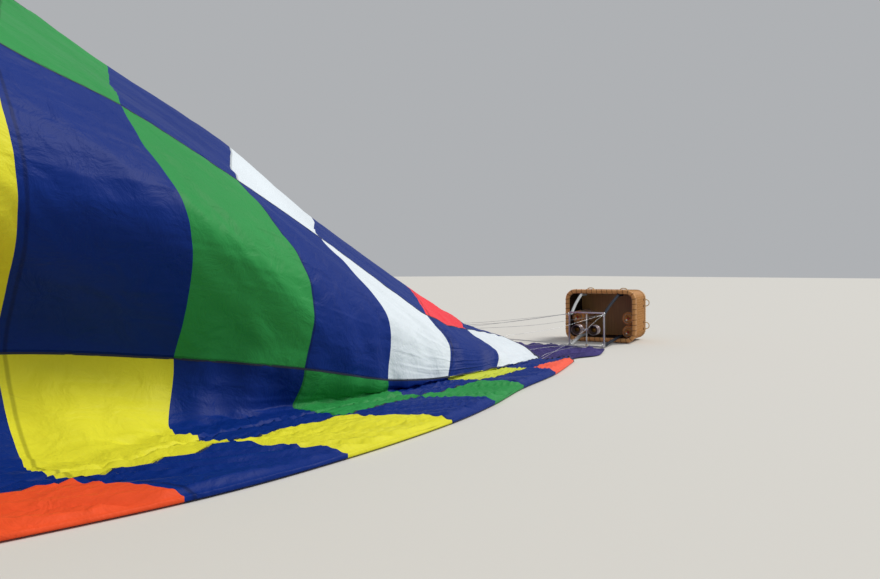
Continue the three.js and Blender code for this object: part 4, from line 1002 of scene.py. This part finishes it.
# ---- Twin burner ----
# Two burners side by side. Each is a can of stainless sheet, heat-tinted at its open end, round a
# coil of tube that heats the gas, with a jet ring, a pilot light and a valve block with its lever
# behind.
tinted = brushed("heat_tinted_stainless", "b9aeb4", 0.34, streak=(8.0, 200.0, 200.0))
inner_steel = brushed("sooted_stainless", "6f6258", 0.5, streak=(60.0, 60.0, 60.0))
CAN = [(0.108, 0.012), (0.110, 0.070), (0.104, 0.080), (0.081, 0.0985), (0.076, 0.1005), (0.02, 0.1005),
       (0.018, 0.1018), (0.014, 0.1018), (0.012, 0.1005), (-0.12, 0.1005), (-0.122, 0.1018), (-0.126, 0.1018),
       (-0.128, 0.1005), (-0.165, 0.1005), (-0.169, 0.1015), (-0.170, 0.0995), (-0.165, 0.0965),
       (0.074, 0.0965), (0.078, 0.093), (0.100, 0.072), (0.101, 0.012)]
JET_RING = [(-0.06, 0.048), (-0.052, 0.052), (-0.044, 0.048), (-0.044, 0.040), (-0.060, 0.040)]
JET = [(0, 0.0035), (0.008, 0.0035), (0.009, 0.002)]
PILOT = [(-0.05, 0.006), (0.05, 0.006), (0.05, 0.009), (0.07, 0.009)]
BURNER_Y, BURNER_Z, COIL_TURNS = 0.178, FRAME_TALL / 2, 7
cans, coils, blocks, levers, pipes = [], [], [], [], []
for s in (-1, 1):
    y = FRAME_Y + s * BURNER_Y
    at, cross = (FRAME_X, y, BURNER_Z), (FRAME_X, FRAME_Y, BURNER_Z)
    cans.append(turned(CAN, at, sides=64)[:, ::-1])
    t = np.linspace(0, 1, 620)
    spin = 2 * math.pi * COIL_TURNS * t
    coil_r = np.interp(t, [0, 0.06, 0.88, 1], [0.03, 0.083, 0.083, 0.045])
    coil = [FRAME_X + 0.055 - 0.205 * t, y + coil_r * np.cos(spin), BURNER_Z + coil_r * np.sin(spin)]
    coils.append(placed(tube(np.stack(coil, axis=1), 0.0075, 10, (1, 0, 0))))
    pipes.append(turned(JET_RING, at, sides=40)[:, ::-1])
    pipes.append(turned([(-0.055, 0.007), (0.09, 0.007)], at, sides=16))
    for k in range(12):
        jet_y, jet_z = 0.0445 * math.cos(k * math.pi / 6), 0.0445 * math.sin(k * math.pi / 6)
        pipes.append(turned(JET, (FRAME_X - 0.056, y + jet_y, BURNER_Z + jet_z), (-1, 0, 0), 8))
    pipes.append(turned(PILOT, (FRAME_X - 0.04, y + 0.02, BURNER_Z + 0.02), sides=12))
    blocks.append(block(at, (0.108, -0.032, -0.026), (0.158, 0.032, 0.026), 0.003))
    blocks.append(block(at, (0.115, s * 0.026, -0.014), (0.150, s * 0.062, 0.014), 0.002, axis=1))
    levers.append(block(at, (0.158, -0.011, -0.006), (0.172, 0.011, 0.085), 0.002, axis=2))
    blocks.append(block(cross, (-0.06, s * 0.038, -0.014), (0.06, s * 0.0825, 0.014), 0.002))
    yoke = s * 0.05
    blocks.append(block(cross, (yoke - 0.01, -0.04, -0.014), (yoke + 0.01, 0.04, 0.014), 0.002, axis=1))
for name, grids, finish in (("burner_cans", cans, tinted), ("burner_coils", coils, inner_steel),
                            ("burner_blocks", blocks, steel), ("burner_jets", pipes, brass),
                            ("blast_levers", levers, red_paint)):
    smooth = name not in ("burner_blocks", "blast_levers")
    made = solid(name, grids, finish, body="burners", smooth=smooth)
    if name == "burner_cans":
        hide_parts("burner")

# ---- Padded uprights ----
# Nylon rods stand in the basket's rim and the frame's sockets. Each wears a padded sleeve with a
# lengthwise seam, gathered at both ends.
SLEEVE_LONG, SLEEVE_RADIUS, ROD_RADIUS = 1.75, 0.0295, 0.019
for i, (side, up) in enumerate(((-1, 1), (1, 1), (-1, 0), (1, 0)), 1):
    z0 = LIFT + TALL - WALL / 2 - 0.0751 if up else LIFT + WALL / 2 + 0.0751
    z1 = SOCKET_Z[up]
    y0, y1 = side * 0.42, FRAME_Y + side * SOCKET_Y
    face = FRAME_X + 0.015
    path = route([(0.33, y0, z0), (0, y0, z0), (-0.13, y0 * 0.995, z0 - (0.012 if up else 0.002)),
                  (-0.7, (y0 + y1) / 2, (z0 + z1) / 2), (face + 0.09, y1, z1 + (0.002 if up else 0.001)),
                  (face + 0.03, y1, z1)], 220)
    run = np.linspace(0, SLEEVE_LONG, 220)[:, None]
    a = around(32)[None, :]
    wrinkles = 0.0022 * lattice(run / 0.05, a * 1.2, 60 + i) * (1 + lattice(run / 0.3, 0 * a, 65))
    sleeve_r = SLEEVE_RADIUS + wrinkles + 0.0008 * np.sin(run * 240)
    sleeve_r -= 0.004 * np.exp(-((a - 4.6) / 0.1) ** 2)
    ends = np.minimum(ramp(run, 0, 0.03), ramp(SLEEVE_LONG - run, 0, 0.03))
    sleeve_r = ROD_RADIUS + (sleeve_r - ROD_RADIUS) * (0.25 + 0.75 * ends)
    sleeve = tube(path, 1.0, 32, (0, 0, 1))
    sleeve = path[:, None] + (sleeve - path[:, None]) * sleeve_r[..., None]
    tone, dark, light = ("light", "9aa0a6", "c4c8cc") if side > 0 else ("dark", "0d1420", "1f2a3c")
    cover = finish_of(f"padded_nylon_sleeve_{tone}_{i}", mottled(dark, light, 8.0), 0.7,
                      bump=weave_bump(260.0, 0.0012), Specular_IOR_Level=0.2)
    made = solid(f"upright_sleeve_{i}", placed(sleeve), cover)
    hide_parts(f"upright_{i}")

# ---- Flying wires ----
# Stranded stainless wires, three to a corner, run from the tapes at the mouth to a steel karabiner
# in each lug. The ends are pressed into ferrules.
WIRE_RADIUS, FERRULE_RADIUS = 0.0027, 0.005
wire_finish = brushed("stranded_stainless_wire", "a9adb2", 0.4, streak=(200.0, 200.0, 200.0))
for i, (side, up) in enumerate(((-1, 1), (1, 1), (-1, 0), (1, 0)), 1):
    lug_y, lug_z = FRAME_Y + side * LUG_Y, LUG_Z[up]
    corner = placed(np.array([FRAME_X - 0.0815, lug_y, lug_z]))
    wires = []
    for k, part in enumerate(("upper", "side", "low")):
        if up:
            start = cloth[side][0][0, marks[part][0]]
        else:
            start = np.array([MOUTH_X - 0.15, side * (2.3 - 0.65 * k), 0.026])
        away = (start - corner) * [1, 1, 0]
        end = corner + away / np.linalg.norm(away) * 0.026
        sag = (start + end) / 2 - [0, 0, 0.06 if up else 0]
        sag[2] = max(sag[2], 0.11)
        lift = start * 0.88 + end * 0.12
        lift = np.array([start[0] + 0.26, lift[1], start[2] + 0.05])
        path = route([start, sag, end] if up else [start, lift, sag, end], 90)
        size = np.full(90, WIRE_RADIUS)
        size[-3:] = size[:2] = FERRULE_RADIUS
        wires.append(tube(path, size, 8, strands=6, pitch=0.06))
    made = solid(f"wire_group_{i}", wires, wire_finish)
    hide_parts(f"flying_wires_{i}")
    a = around(48)
    bow = np.stack([0.040 * np.cos(a) - 0.004, 0 * a, 0.026 * np.sin(a) * (1 + 0.22 * np.cos(a))], axis=1)
    clip = placed(tube(bow + [FRAME_X - 0.074, lug_y, lug_z], 0.0055, 10, (0, 1, 0), closed=True))
    snap = surface(f"karabiner_{i}", clip, steel, close_u=True, close_v=True)
